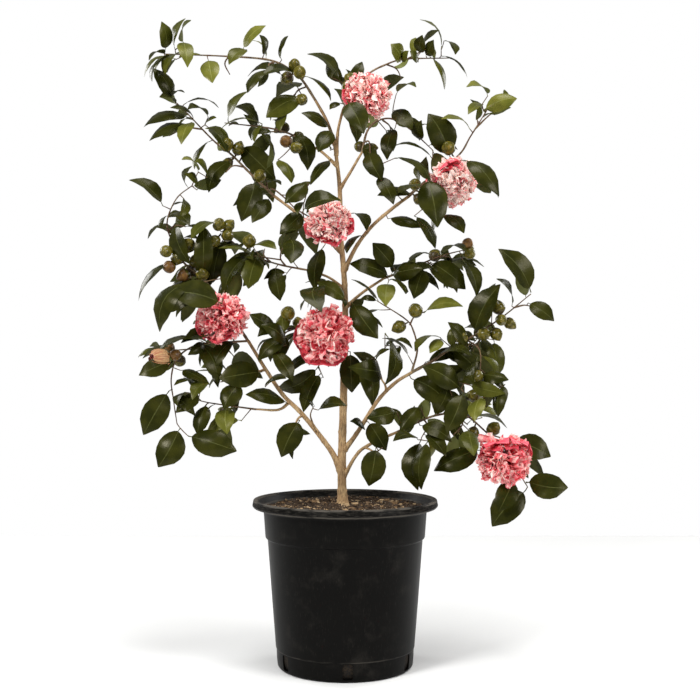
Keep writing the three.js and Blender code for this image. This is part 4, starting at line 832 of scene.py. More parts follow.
class Surroundings:
    """What every mass has to keep clear of: stems, leaves and blossoms."""

    def __init__(self, limbs: dict[str, LaidLimb]) -> None:
        """Starts with the bare wood.

        Args:
            limbs: The limbs by name.
        """
        self.cover: Optional[Cover] = None
        self.rod_ends, self.rod_radius, self.rod_owner = Rows(2, 3), Rows(), Rows()
        self.middle, self.reach, self.leaf_owner = Rows(3), Rows(), Rows()
        self.whole, self.blade = Rows(6, 3), Rows(6, 3)
        self.centres, self.sizes = Rows(3), Rows()
        for limb in limbs.values():
            self.add_line(-1, limb.line, limb.radii)

    def add_line(self, owner: int, line: Sequence[Array], radii: Sequence[float]) -> None:
        """Adds a stem, as straight pieces.

        Args:
            owner: Its mass, or -1.
            line: Its points.
            radii: The radius at each.
        """
        for start, end, *radius in zip(line, line[1:], radii, radii[1:]):
            self.rod_ends.add((start, end))
            self.rod_radius.add(max(radius))
            self.rod_owner.add(owner)

    def add_flower(self, flower: Flower) -> None:
        """Adds a blossom."""
        self.centres.add(flower.at)
        self.sizes.add(flower.radius)

    def add_leaf(self, owner: int, leaf: Leaf) -> None:
        """Adds a leaf.

        Args:
            owner: Its mass.
            leaf: The leaf.
        """
        for rows, row in ((self.middle, leaf.middle), (self.reach, leaf.reach), (self.leaf_owner, owner),
                          (self.whole, leaf.shell(0)), (self.blade, leaf.shell(LEAF.root_share))):
            rows.add(row)

    def open(self, points: Array) -> bool:
        """Whether places are all within the crown's limits, off the pot and clear of blossoms.

        Args:
            points: The places.

        Returns:
            True if they are.
        """
        over_pot = (points[:, 2] < KEEP.over_pot) & (np.hypot(points[:, 0], points[:, 1]) < KEEP.pot_reach)
        if (points < KEEP.low).any() or (points > KEEP.high).any() or over_pot.any():
            return False
        away, size = points[:, None] - self.centres.all, self.sizes.all
        in_front = (away[..., 1] < 0) & (np.hypot(away[..., 0], away[..., 2]) < size * KEEP.bloom_view)
        return not ((length_of(away) < size + KEEP.bloom_gap) | in_front).any()

    @staticmethod
    def inside_outline(point: Array) -> bool:
        """Whether a place is within the crown's outline seen from the front.

        Args:
            point: The place.

        Returns:
            True if it is.
        """
        scale = (PICTURE.distance + KEEP.outline_depth) / (PICTURE.distance + point[1])
        x, z = point[0] * scale, PICTURE.height + (point[2] - PICTURE.height) * scale
        return KEEP.low[0] + KEEP.inset < x < KEEP.high[0] - KEEP.inset and z < KEEP.high[2] - KEEP.inset

    def leaf_fits(self, owner: int, leaf: Leaf) -> bool:
        """Returns whether a leaf is clear, and where a cover is kept, lies mostly behind other leaves."""
        return not (self.cover and self.cover.behind(leaf) < KEEP.covered) and self.leaf_clear(owner, leaf)

    def leaf_clear(self, owner: int, leaf: Leaf) -> bool:
        """Whether a leaf touches no stem, leaf or blossom.

        Args:
            owner: The leaf's mass.
            leaf: The leaf.

        Returns:
            True if it is clear.
        """
        points = leaf.points()
        if not self.open(mix(points[PROBE_ENDS[:, 0]], points[PROBE_ENDS[:, 1]], PROBE_SHARES)):
            return False
        whole, blade = leaf.shell(0), leaf.shell(LEAF.root_share)
        start, end = self.rod_ends.all.swapaxes(0, 1)
        radius, own = self.rod_radius.all, self.rod_owner.all == owner
        share = np.clip(dot(leaf.middle - start, end - start) / dot(end - start, end - start), 0, 1)[:, None]
        near = length_of(start + (end - start) * share - leaf.middle) < leaf.reach + radius
        for chosen, shell, gap in ((near & own, blade, KEEP.own_gap), (near & ~own, whole, KEEP.gap)):
            if chosen.any() and rods_touch(start[chosen], end[chosen], radius[chosen] + gap, shell):
                return False
        near = length_of(self.middle.all - leaf.middle) <= self.reach.all + leaf.reach
        own = self.leaf_owner.all == owner
        return not any(chosen.any() and shells_cross(shell, others.all[chosen]) for chosen, shell, others in
                       ((near & own, blade, self.blade), (near & ~own, whole, self.whole)))

    def rod_fits(self, owner: int, start: Array, end: Array, radius: float) -> bool:
        """Whether a straight stem touches no other mass's stem, and no leaf or blossom.

        Args:
            owner: The stem's mass.
            start: Where it starts.
            end: Where it ends.
            radius: Its radius.

        Returns:
            True if it is clear.
        """
        others = self.rod_owner.all != owner
        apart = segment_gap_sq(*self.rod_ends.all[others].swapaxes(0, 1), start, end)
        if (not self.open(np.array((start, mix(start, end, 0.5), end)))
                or (apart < (radius + self.rod_radius.all[others] + KEEP.gap) ** 2).any()):
            return False
        way, middle, own = end - start, self.middle.all, self.leaf_owner.all == owner
        share = np.clip(dot(middle - start, way) / dot(way, way), 0, 1)[:, None]
        near = length_of(start + way * share - middle) < self.reach.all + radius
        return not any(chosen.any() and rods_touch(start, end, np.array(radius + gap), shells.all[chosen])
                       for chosen, shells, gap in ((near & own, self.blade, KEEP.own_gap),
                                                   (near & ~own, self.whole, KEEP.gap)))


@dataclass
class Bud:
    """A flower bud on its stalk."""

    root: Array
    centre: Array
    radius: float


class Foliage:
    """One leafy mass: its lines first, then what grows on them."""

    def __init__(self, plan: Mass, owner: int, limbs: dict[str, LaidLimb], around: Surroundings) -> None:
        """Lays out the stem and its shoots.

        Args:
            plan: The mass's own values.
            owner: Its number among the masses.
            limbs: The bare wood.
            around: What it keeps clear of.
        """
        self.plan, self.owner, self.rng = plan, owner, Seeded(plan.seed)
        self.twigs: list[tuple[Array, Array]] = []
        self.fine_twigs: list[tuple[Array, Array]] = []
        self.leaves: list[Leaf] = []
        self.buds: list[Bud] = []
        self.stem_points = np.array(plan.stem, float)
        parent = limbs[plan.limb].fine
        self.stem_points[0] = parent[nearest_index(parent, self.stem_points[0])]
        self.stem = smooth_line(self.stem_points, GROWTH.ring_step)
        self.lines = [self.stem]
        for share, end in plan.shoots:
            place, heading = along(self.stem, share * line_length(self.stem))
            self.lines.append(bent_line(place, heading, np.array(end, float), GROWTH.ring_step))
        self.samples = [subdivided(line, GROWTH.samples) for line in self.lines]
        self.flowers = [flower for flower in (plan.bloom, plan.bud) if flower]
        self.join(around)

    def join(self, around: Surroundings) -> None:
        """Gives its surroundings all that the mass has so far.

        Args:
            around: The surroundings.
        """
        self.around = around
        for k, line in enumerate(self.lines):
            radius = (GROWTH.shoot_radius if k else self.plan.radius[0], self.plan.radius[1])
            around.add_line(self.owner, line, even_taper(line, radius))
        for twig in self.twigs:
            around.add_line(self.owner, twig, FIRST.twig_radius)
        for flower in self.flowers:
            around.add_flower(flower)
        for leaf in self.leaves:
            around.add_leaf(self.owner, leaf)

    def root_for(self, target: Array, back_share: float) -> Array:
        """The nearest place on the mass's own lines, moved back towards the root of that line.

        Args:
            target: The place to reach.
            back_share: How far back, as a share of the distance.

        Returns:
            The place on the line.
        """
        line = min(self.samples, key=lambda line: length_of(line - target).min())
        i = nearest_index(line, target)
        away = length_of(line[i] - target)
        return line[max(1, i - math.floor(back_share * away * GROWTH.samples / GROWTH.ring_step + 0.5))]

    def keep_twig(self, start: Array, end: Array, finer: bool = False) -> None:
        """Adds a twig."""
        (self.fine_twigs if finer else self.twigs).append((start, end))
        self.around.add_line(self.owner, (start, end), (FINER if finer else FIRST).twig_radius)

    def keep_leaf(self, leaf: Leaf) -> None:
        """Adds a leaf."""
        self.leaves.append(leaf)
        self.around.add_leaf(self.owner, leaf)

    def add_stalks(self) -> None:
        """Adds the stalk of each blossom."""
        for flower in self.flowers:
            centre = np.array(flower.at, float)
            back = unit(np.array(flower.facing, float)) * -flower.radius * GROWTH.stalk_depth
            self.keep_twig(self.root_for(centre, GROWTH.stalk_back), centre + back)

    def add_reach(self) -> None:
        """Adds the leaves that give the crown its outline, each with a few tries."""
        for tip in np.array(self.plan.reach, float):
            any(self.add_aimed_leaf(tip, tried) for tried in range(GROWTH.tries))

    def add_aimed_leaf(self, tip: Array, tried: int) -> bool:
        """A leaf that ends at a given place, on a stalk where it starts off the stem.

        Args:
            tip: The place.
            tried: How many tries came before.

        Returns:
            True if it fits and is kept.
        """
        root = self.root_for(tip, GROWTH.aim_back - GROWTH.aim_back_step * (tried % 3))
        outward = -1 if self.rng.next() < GROWTH.aimed_forward else 1
        size = LEAF.aimed_longest * self.rng.between(*GROWTH.aimed_size)
        away = length_of(tip - root)
        stalked = away > size
        leaf = make_leaf(self.rng, mix(root, tip, (away - size) / away) if stalked else root, tip, outward)
        if not self.around.leaf_fits(self.owner, leaf):
            return False
        if stalked:
            stalk_end = mix(root, tip, (away - size + LEAF.sunk) / away)
            if not self.around.rod_fits(self.owner, root, stalk_end, FIRST.twig_radius[0]):
                return False
            self.keep_twig(root, stalk_end)
        self.keep_leaf(leaf)
        return True

    def dress(self, rule: Round = FIRST) -> None:
        """Turns round each line from node to node, adding a leaf or a leafy twig where one fits.

        Args:
            rule: The round of growth.
        """
        finer = rule is FINER
        if finer:
            self.rng = Seeded(self.plan.seed + FINER.seed_offset)
        for line in [*self.lines, *(np.array(twig) for twig in self.twigs if finer)]:
            length = line_length(line)
            turn = self.rng.between(0, 2 * math.pi)
            place = rule.bare_length or rule.node_step * self.rng.between(*GROWTH.first_node)
            while place < length - rule.bare_length:
                point, heading = along(line, place)
                turn += GROWTH.turn
                if self.rng.next() < GROWTH.twig_share:
                    self.add_twig(point, heading, turn, rule)
                else:
                    self.add_leaf(point, heading, turn, 1, rule)
                place += rule.node_step * self.rng.between(*GROWTH.node_spread)
            if not finer:
                self.add_leaf(*along(line, length - LEAF.sunk), turn + 1, GROWTH.end_leaf_spread, rule)

    @staticmethod
    def sideways(heading: Array, turn: float, spread: float) -> Array:
        """The direction of what leaves a stem to one side.

        Args:
            heading: The stem's heading.
            turn: The angle round it.
            spread: The angle away from it.

        Returns:
            A unit direction that droops a little.
        """
        front = perpendicular(heading, BACK + UP * 0.01)
        side = front * math.sin(turn) * GROWTH.flatness + np.cross(heading, front) * math.cos(turn)
        return unit(heading * math.cos(spread) + side * math.sin(spread) - UP * GROWTH.droop)

    def add_leaf(self, root: Array, heading: Array, turn: float, spread_share: float, rule: Round) -> None:
        """A leaf beside a stem, turned on until it fits.

        Args:
            root: Where it starts.
            heading: The stem's heading.
            turn: The first angle round the stem.
            spread_share: How far it leans away, as a share of the usual angle.
            rule: The round of growth.
        """
        length = self.rng.between(*rule.leaf_length)
        flip = self.rng.next()
        for tried in range(rule.leaf_tries):
            direction = self.sideways(heading, turn, GROWTH.spread * spread_share)
            level = direction[1] > GROWTH.in_front and flip < GROWTH.back_facing
            outward = 1 if direction[1] > GROWTH.behind or level else -1
            tip = root + direction * length * (1 - GROWTH.retry_shrink * tried)
            leaf = make_leaf(self.rng, root, tip, outward)
            if self.around.inside_outline(tip) and self.around.leaf_fits(self.owner, leaf):
                self.keep_leaf(leaf)
                return
            turn += GROWTH.retry_turn

    def add_twig(self, root: Array, heading: Array, first_turn: float, rule: Round) -> None:
        """A twig with leaves at its end; a finer one that gets none is taken off again.

        Args:
            root: Where it starts.
            heading: The stem's heading.
            first_turn: The first angle round the stem.
            rule: The round of growth.
        """
        length = self.rng.between(*rule.twig_length)
        for tried in range(rule.twig_tries):
            turn = first_turn + tried * GROWTH.retry_turn
            direction = self.sideways(heading, turn, GROWTH.spread * rule.twig_spread)
            end = root + direction * length
            if self.around.rod_fits(self.owner, root, end, rule.twig_radius[0]):
                self.keep_twig(root, end, rule is FINER)
                before = len(self.leaves)
                for k, round_it in enumerate(round_angles(rule.twig_leaves)):
                    spread = GROWTH.twig_leaf_spread if k else GROWTH.twig_end_leaf_spread
                    self.add_leaf(end - direction * LEAF.sunk, direction, turn + round_it, spread, rule)
                if rule is FINER and len(self.leaves) == before:
                    self.fine_twigs.pop()
                return

    def add_buds(self) -> None:
        """Adds flower buds in groups round the stem."""
        for share, count in self.plan.buds:
            point, heading = along(self.stem, share * line_length(self.stem) - LEAF.sunk)
            first = self.rng.between(0, 2 * math.pi)
            for round_it in round_angles(count):
                radius = self.rng.between(*GROWTH.bud_radius)
                for tried in range(GROWTH.tries):
                    turn = first + round_it + tried * GROWTH.bud_retry_turn
                    way = self.sideways(heading, turn, GROWTH.bud_spread)
                    centre = point + way * (GROWTH.bud_stalk + radius)
                    swollen = mix(point, centre, GROWTH.bud_swells_from)
                    if self.around.rod_fits(self.owner, swollen, centre, radius):
                        self.buds.append(Bud(point, centre, radius))
                        break


class Value:
    """A socket that can be used in sums; each sum adds a Math node."""

    def __init__(self, graph: Graph, socket: bpy.types.NodeSocket) -> None:
        """Wraps a socket."""
        self.graph, self.socket = graph, socket

    def math(self, operation: str, *others: Any) -> Value:
        """Returns the outcome of a Math node on this value and others."""
        return self.graph.value("ShaderNodeMath", {"operation": operation}, dict(enumerate((self, *others))))

    def __add__(self, other: Any) -> Value:
        """Returns the sum."""
        return self.math("ADD", other)

    def __mul__(self, other: Any) -> Value:
        """Returns the product."""
        return self.math("MULTIPLY", other)

    def __rsub__(self, other: Any) -> Value:
        """Returns a number less this value."""
        return self * -1 + other

    def rising(self, start: float, end: float) -> Value:
        """Returns 0 below the start, 1 above the end, and a smooth step between them."""
        inputs = {"Value": self, "From Min": start, "From Max": end}
        return self.graph.value("ShaderNodeMapRange", {"interpolation_type": "SMOOTHSTEP"}, inputs)


class Graph:
    """The node tree of one material."""

    def __init__(self, name: str) -> None:
        """Makes a material with nothing but its output.

        Args:
            name: Its name.
        """
        self.material = bpy.data.materials.new(name)
        self.material.use_nodes = True
        self.tree = self.material.node_tree
        self.tree.nodes.clear()
        self.output = self.tree.nodes.new("ShaderNodeOutputMaterial")

    def value(self, kind: str, settings: Optional[dict[str, Any]] = None,
              inputs: Optional[dict[Any, Any]] = None, output: Any = 0) -> Value:
        """Any node, with its settings first and then its inputs.

        Args:
            kind: The node's type.
            settings: Its own properties.
            inputs: Values or links, by socket name or number.
            output: Which output is wanted, by name or number.

        Returns:
            The output.
        """
        made = self.tree.nodes.new(kind)
        for key, setting in (settings or {}).items():
            setattr(made, key, setting)
        for key, given in (inputs or {}).items():
            socket = made.inputs[key]
            if isinstance(given, Value):
                self.tree.links.new(given.socket, socket)
            else:
                whole = isinstance(given, tuple) and len(given) == 3 and socket.type == "RGBA"
                socket.default_value = (*given, 1.0) if whole else given
        return Value(self, made.outputs[output])

    def place(self, kind: str = "Object") -> Value:
        """Returns the Object coordinates in metres, or the piece's own UV coordinates."""
        return self.value("ShaderNodeTexCoord", output=kind)

    def stretched(self, vector: Value, scale: Point) -> Value:
        """Returns coordinates scaled along each axis."""
        return self.value("ShaderNodeMapping", {}, {"Vector": vector, "Scale": scale})

    def noise(self, vector: Value, scale: float, detail: float = 3.0, roughness: float = 0.5) -> Value:
        """Returns soft noise from 0 to 1, with a number of blotches to the metre."""
        inputs = {"Vector": vector, "Scale": scale, "Detail": detail, "Roughness": roughness}
        return self.value("ShaderNodeTexNoise", {}, inputs, "Fac")

    def cells(self, vector: Value, scale: float) -> Value:
        """Returns the distance from the nearest point of a cell pattern."""
        return self.value("ShaderNodeTexVoronoi", {}, {"Vector": vector, "Scale": scale}, "Distance")

    def blend(self, share: Value, first: Any, second: Any) -> Value:
        """Returns a colour between two others."""
        return self.value("ShaderNodeMix", {"data_type": "RGBA"}, {0: share, 6: first, 7: second}, 2)

    def bump(self, height: Value, strength: float, distance: float) -> Value:
        """Returns a normal that follows a height, whose full range is a distance in metres."""
        inputs = {"Height": height, "Strength": strength, "Distance": distance}
        return self.value("ShaderNodeBump", {}, inputs)

    def finish(self, **sockets: Any) -> bpy.types.Material:
        """Ends the material in one shader.

        Args:
            sockets: The shader's inputs, with underscores for spaces.

        Returns:
            The material.
        """
        inputs = {name.replace("_", " "): given for name, given in sockets.items()}
        shader = self.value("ShaderNodeBsdfPrincipled", {}, inputs)
        self.tree.links.new(shader.socket, self.output.inputs["Surface"])
        return self.material


@dataclass(frozen=True)
class LeafFinish:
    """One side of a leaf: a plain green with a little mottling and a waxy gloss."""

    name: str
    colour: Colour
    second: Colour
    roughness: float
    gloss: float
    sheen: Colour = (1.0, 0.92, 0.7)

    def make(self) -> bpy.types.Material:
        """Builds the node tree.

        Returns:
            The material.
        """
        graph = Graph(self.name)
        place = graph.place()
        broad = graph.noise(place, 34.0, 2.0).rising(0.36, 0.66)
        waves = graph.noise(place, 110.0, 2.0)
        return graph.finish(Base_Color=graph.blend(broad, self.colour, self.second),
                            Roughness=waves * 0.1 + (self.roughness - 0.05),
                            Specular_IOR_Level=self.gloss, Specular_Tint=(*self.sheen, 1.0),
                            Normal=graph.bump(waves, 0.3, 0.0012))


@dataclass(frozen=True)
class PlainFinish:
    """A plain colour with faint mottling, for small things."""

    name: str
    colour: Colour
    second: Colour
    roughness: float
    scale: float = 160.0
    relief: float = 0.0003
    gloss: float = 0.3

    def make(self) -> bpy.types.Material:
        """Builds the node tree.

        Returns:
            The material.
        """
        graph = Graph(self.name)
        noise = graph.noise(graph.place(), self.scale)
        return graph.finish(Base_Color=graph.blend(noise.rising(0.35, 0.68), self.colour, self.second),
                            Roughness=noise * 0.14 + (self.roughness - 0.07), Specular_IOR_Level=self.gloss,
                            Normal=graph.bump(noise, 0.4, self.relief))


@dataclass(frozen=True)
class BarkFinish:
    """Smooth grey-tan bark with lengthwise cracks, darker flecks and pale patches."""

    name: str
    colour: Colour
    dark: Colour
    pale: Colour

    def make(self) -> bpy.types.Material:
        """Builds the node tree.

        Returns:
            The material.
        """
        graph = Graph(self.name)
        place = graph.place()
        long_way = graph.stretched(place, (1.0, 1.0, 0.22))
        cracks = graph.noise(long_way, 520.0, 4.0, 0.62)
        flecks = graph.cells(long_way, 330.0)
        base = graph.blend(graph.noise(place, 55.0).rising(0.42, 0.68), self.colour, self.pale)
        base = graph.blend((1 - cracks.rising(0.36, 0.52)) * 0.75, base, self.dark)
        base = graph.blend((1 - flecks.rising(0.05, 0.22)) * 0.35, base, self.pale)
        return graph.finish(Base_Color=base, Roughness=cracks * 0.2 + 0.68,
                            Normal=graph.bump(cracks + flecks * 0.3, 0.6, 0.0007))


@dataclass(frozen=True)
class PetalFinish:
    """A petal with fine streaks of a second colour along its length."""

    name: str
    colour: Colour
    streak: Colour
    amount: float

    def make(self) -> bpy.types.Material:
        """Builds the node tree.

        Returns:
            The material.
        """
        graph = Graph(self.name)
        lengthwise = graph.stretched(graph.place("UV"), (9.0, 1.1, 1.0))
        fewer = self.amount * 0.3
        streaks = graph.noise(lengthwise, 1.6, 3.0, 0.6).rising(0.62 - fewer, 0.78 - fewer)
        crinkle = graph.noise(graph.place(), 300.0, 2.0)
        return graph.finish(Base_Color=graph.blend(streaks, self.colour, self.streak),
                            Roughness=crinkle * 0.15 + 0.5, Subsurface_Weight=0.12,
                            Subsurface_Radius=(1.0, 0.5, 0.4), Subsurface_Scale=0.0005,
                            Normal=graph.bump(crinkle, 0.35, 0.0005))


@dataclass(frozen=True)
class PlasticFinish:
    """Moulded near-black plastic: satin, with dust, fine scuffs and a greyer scuffed rim, and painted
    highlight lines along the rim's edges and the foot's ledge.
    """

    name: str = "pot_plastic"
    colour: Colour = (0.0028, 0.0026, 0.0022)
    # Pale colour for the real scuffs, dust and scratches, and for the painted highlight lines on the rim and
    # foot.
    wear_and_highlight: Colour = (0.085, 0.076, 0.064)
    gloss: float = 0.06
    rim_height: float = 0.279

    def make(self) -> bpy.types.Material:
        """Builds the node tree.

        Returns:
            The material.
        """
        graph = Graph(self.name)
        place, rim = graph.place(), self.rim_height
        height = graph.value("ShaderNodeSeparateXYZ", {}, {"Vector": place}, "Z")
        around = graph.stretched(place, (1.0, 1.0, 7.0))
        moulding = graph.noise(graph.stretched(place, (1.0, 1.0, 0.05)), 120.0, 2.0)
        scratches = graph.noise(graph.stretched(place, (1.0, 1.0, 0.12)), 700.0, 2.0)
        dust = graph.noise(place, 22.0, 5.0, 0.65).rising(0.5, 0.78)
        on_rim = height.rising(rim - 0.003, rim + 0.002)
        scuffs = graph.noise(around, 90.0, 4.0, 0.7).rising(0.46, 0.66) * on_rim
        # Painted highlights: pale lines along the rim's lower and upper edges and the foot's ledge, broken
        # up by noise.
        lower_edge_highlight = on_rim * (1 - height.rising(rim + 0.003, rim + 0.005))
        upper_edge_highlight = height.rising(rim + 0.0125, rim + 0.0138)
        foot_ledge_highlight = height.rising(0.0325, 0.034) * (1 - height.rising(0.0348, 0.036))
        highlight_breaks = graph.noise(around, 24.0).rising(0.38, 0.56)
        # Real scuffs, dust and scratches, plus the painted highlight lines.
        wear_and_highlight = (scuffs * 0.3 + (lower_edge_highlight * 0.9 + upper_edge_highlight * 0.9 + foot_ledge_highlight * 0.35) * highlight_breaks
                  + dust * 0.14 + scratches.rising(0.6, 0.75) * 0.1)
        return graph.finish(Base_Color=graph.blend(wear_and_highlight, self.colour, self.wear_and_highlight),
                            Roughness=wear_and_highlight * 0.3 + moulding * 0.08 + 0.36, Specular_IOR_Level=self.gloss,
                            Normal=graph.bump(moulding * 0.5 + scratches * 0.15, 0.25, 0.0005))


@dataclass(frozen=True)
class PaperFinish:
    """The pale floor."""

    name: str = "floor_paper"
    colour: Colour = (0.86, 0.86, 0.85)
    second: Colour = (0.9, 0.9, 0.89)

    def make(self) -> bpy.types.Material:
        """Builds the node tree.

        Returns:
            The material.
        """
        graph = Graph(self.name)
        grain = graph.noise(graph.place(), 180.0)
        return graph.finish(Base_Color=graph.blend(grain, self.colour, self.second), Roughness=0.9)


def build(*finishes: Any) -> list[bpy.types.Material]:
    """Returns the materials of several finishes."""
    return [finish.make() for finish in finishes]


@dataclass
class Sheaf:
    """Faces gathered from many small shapes, to become one joined mesh."""

    points: list[Array] = field(default_factory=list)
    quads: list[Array] = field(default_factory=list)
    stuffs: list[Array] = field(default_factory=list)
    maps: list[Array] = field(default_factory=list)
    count: int = 0

    def add(self, points: Array, quads: Array, stuff: Any = 0, flat: Optional[Array] = None) -> None:
        """Adds a shape, or several of the same make.

        Args:
            points: The corners in millimetres, as one row of shapes or as a single shape.
            quads: The faces of one shape. A face whose last two corners are the same is a triangle.
            stuff: The material number, one for all or one for each face of each shape.
            flat: The UV coordinates of the corners.
        """
        shapes = points.reshape(-1, points.shape[-2], 3)
        count, corners = shapes.shape[:2]
        starts = self.count + np.arange(count) * corners
        self.points.append(shapes.reshape(-1, 3))
        self.quads.append((quads[None] + starts[:, None, None]).reshape(-1, 4))
        self.stuffs.append(np.broadcast_to(np.asarray(stuff), (count, len(quads))).reshape(-1))
        flat = np.zeros((corners, 2)) if flat is None else flat
        self.maps.append(np.broadcast_to(flat, (count, corners, 2)).reshape(-1, 2))
        self.count += count * corners

    def add_tubes(self, lines: Array, radii: Array, sides: int, stuff: Any = 0) -> None:
        """Adds round tubes along lines."""
        self.add(tubes(lines, radii, sides), tube_quads(lines.shape[1], sides), stuff)

    def add_petals(self, surface: Array, thickness: float, stuff: Any) -> None:
        """Adds thin shells, their UV coordinates running across and along both sides of each.

        Args:
            surface: Points as shapes by rows by columns.
            thickness: The distance between the two sides.
            stuff: The material number, one for all or one for each face of each shape.
        """
        rows, columns = surface.shape[1:3]
        upper = np.stack(np.meshgrid(np.linspace(0, 1, columns), np.linspace(0, 1, rows)), -1)
        flat = np.vstack((upper.reshape(-1, 2), upper[1:-1, 1:-1].reshape(-1, 2)))
        self.add(shells(surface, thickness), shell_quads(rows, columns), stuff, flat)

    def piece(self, name: str, materials: Sequence[bpy.types.Material], slot: str,
              sharp: float = 60.0) -> bpy.types.Object:
        """The joined mesh as a piece of the object, on the plant's one body.

        Args:
            name: The piece's name.
            materials: Its materials, in the order of their numbers.
            slot: The record's material slot; not used.
            sharp: Edges that turn by more degrees than this are not smoothed over.

        Returns:
            The object, at the origin.
        """
        points, quads = np.vstack(self.points) * MM, np.vstack(self.quads)
        sizes = np.where(quads[:, 2] == quads[:, 3], 3, 4)
        corners = quads[np.arange(4)[None] < sizes[:, None]]
        mesh = bpy.data.meshes.new(name)
        mesh.vertices.add(len(points))
        mesh.vertices.foreach_set("co", points.astype(np.float32).ravel())
        mesh.loops.add(len(corners))
        mesh.loops.foreach_set("vertex_index", corners.astype(np.int32))
        mesh.polygons.add(len(quads))
        mesh.polygons.foreach_set("loop_start", (np.cumsum(sizes) - sizes).astype(np.int32))
        mesh.polygons.foreach_set("material_index", np.concatenate(self.stuffs).astype(np.int32))
        flat = np.vstack(self.maps)[corners].astype(np.float32).ravel()
        mesh.uv_layers.new(name="UVMap").data.foreach_set("uv", flat)
        for material in materials:
            mesh.materials.append(material)
        mesh.update(calc_edges=True)
        mesh.validate()
        smooth_over(mesh, sharp)
        piece = placed_in_scene(name, mesh)
        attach(piece, BODY)
        LOG.info("%s: %d faces", name, len(mesh.polygons))
        return piece


def placed_in_scene(name: str, data: Any) -> bpy.types.Object:
    """A new object in the scene, at the origin.

    Args:
        name: Its name.
        data: What it shows.

    Returns:
        The object.
    """
    made = bpy.data.objects.new(name, data)
    bpy.context.scene.collection.objects.link(made)
    return made


def smooth_over(mesh: bpy.types.Mesh, sharp: float) -> None:
    """Smooths a mesh over, except at edges that turn by more than some degrees."""
    mesh.shade_smooth()
    mesh.set_sharp_from_angle(angle=math.radians(sharp))


def tube_quads(rings: int, sides: int) -> Array:
    """The faces of a tube whose first point and last point close its ends.

    Args:
        rings: How many rings there are between the two end points.
        sides: Points in a ring.

    Returns:
        Four corners for each face, the last two the same in a triangle.
    """
    ring = np.arange(sides)
    following, last = (ring + 1) % sides, 1 + rings * sides
    start = 1 + np.arange(rings - 1)[:, None] * sides
    a, b = start + ring, start + following
    wall = np.stack((a, b, b + sides, a + sides), -1).reshape(-1, 4)
    first_cap = np.stack((following + 1, ring + 1, ring * 0, ring * 0), -1)
    last_cap = np.stack((ring - sides, following - sides, ring * 0, ring * 0), -1) + last
    return np.vstack((first_cap, wall, last_cap))


def ring_of_faces(rings: int, sides: int) -> Array:
    """Returns the number of the ring that each face of a tube starts from."""
    return np.clip(np.arange((rings + 1) * sides) // sides - 1, 0, rings - 1)


def tubes(lines: Array, radii: Array, sides: int) -> Array:
    """Round tubes along lines, each ring square to its line, with a closing point at both ends.

    Each ring is its middle plus radius times the cosine across and the sine along a third direction.

    Args:
        lines: The middle points, as lines by rings.
        radii: A radius for each ring, or for each point of each ring.
        sides: Points in a ring.

    Returns:
        The corners, as lines by points.
    """
    heading = unit(np.gradient(lines, axis=1))
    mean = np.abs(heading.mean(1, keepdims=True))
    across = perpendicular(heading, np.where(mean[..., 1:2] < STEEP, BACK, RIGHT))
    third = np.cross(heading, across)
    angle = round_angles(sides)
    radii = radii if radii.ndim == 3 else radii[..., None]
    rings = (lines[:, :, None] + across[:, :, None] * (radii * np.cos(angle))[..., None]
             + third[:, :, None] * (radii * np.sin(angle))[..., None])
    return np.concatenate((lines[:, :1], rings.reshape(len(lines), -1, 3), lines[:, -1:]), 1)


def shell_quads(rows: int, columns: int) -> Array:
    """The faces of a thin closed shell whose two sides share their rim.

    The lower side's inner points follow the upper side's points, row by row.

    Args:
        rows: Points along the shell.
        columns: Points across it.

    Returns:
        Four corners for each face, the upper side's faces first.
    """
    upper = np.arange(rows * columns).reshape(rows, columns)
    lower = upper.copy()
    lower[1:-1, 1:-1] = rows * columns + np.arange((rows - 2) * (columns - 2)).reshape(rows - 2, columns - 2)
    top = np.stack((upper[:-1, :-1], upper[:-1, 1:], upper[1:, 1:], upper[1:, :-1]), -1)
    low = np.stack((lower[:-1, :-1], lower[1:, :-1], lower[1:, 1:], lower[:-1, 1:]), -1)
    return np.vstack((top.reshape(-1, 4), low.reshape(-1, 4)))


def shells(surface: Array, thickness: float) -> Array:
    """Thin closed shells: a surface, and a lower side that is sunk below it except at the rim.

    The lower side is the surface less its unit normal, the cross product of its two slopes, times the
    thickness.

    Args:
        surface: Points as shapes by rows by columns, whose normal points up from them.
        thickness: The distance between the two sides.

    Returns:
        The corners, as shapes by points.
    """
    normal = np.cross(np.gradient(surface, axis=2), np.gradient(surface, axis=1))
    normal = normal / np.maximum(length_of(normal), 1e-9)[..., None]
    lower = (surface - normal * thickness)[:, 1:-1, 1:-1]
    return np.concatenate((surface.reshape(len(surface), -1, 3), lower.reshape(len(surface), -1, 3)), 1)


def resampled(points: Array, step: float) -> Array:
    """The smooth line through points, with its samples evenly spread.

    Args:
        points: The points.
        step: About how far apart the samples are.

    Returns:
        The samples.
    """
    line = smooth_line(points, step)
    place = np.concatenate(((0.0,), np.cumsum(length_of(np.diff(line, axis=0)))))
    even = np.linspace(0, place[-1], max(4, round(place[-1] / step) + 1))
    return np.stack([np.interp(even, place, line[:, k]) for k in range(3)], -1)


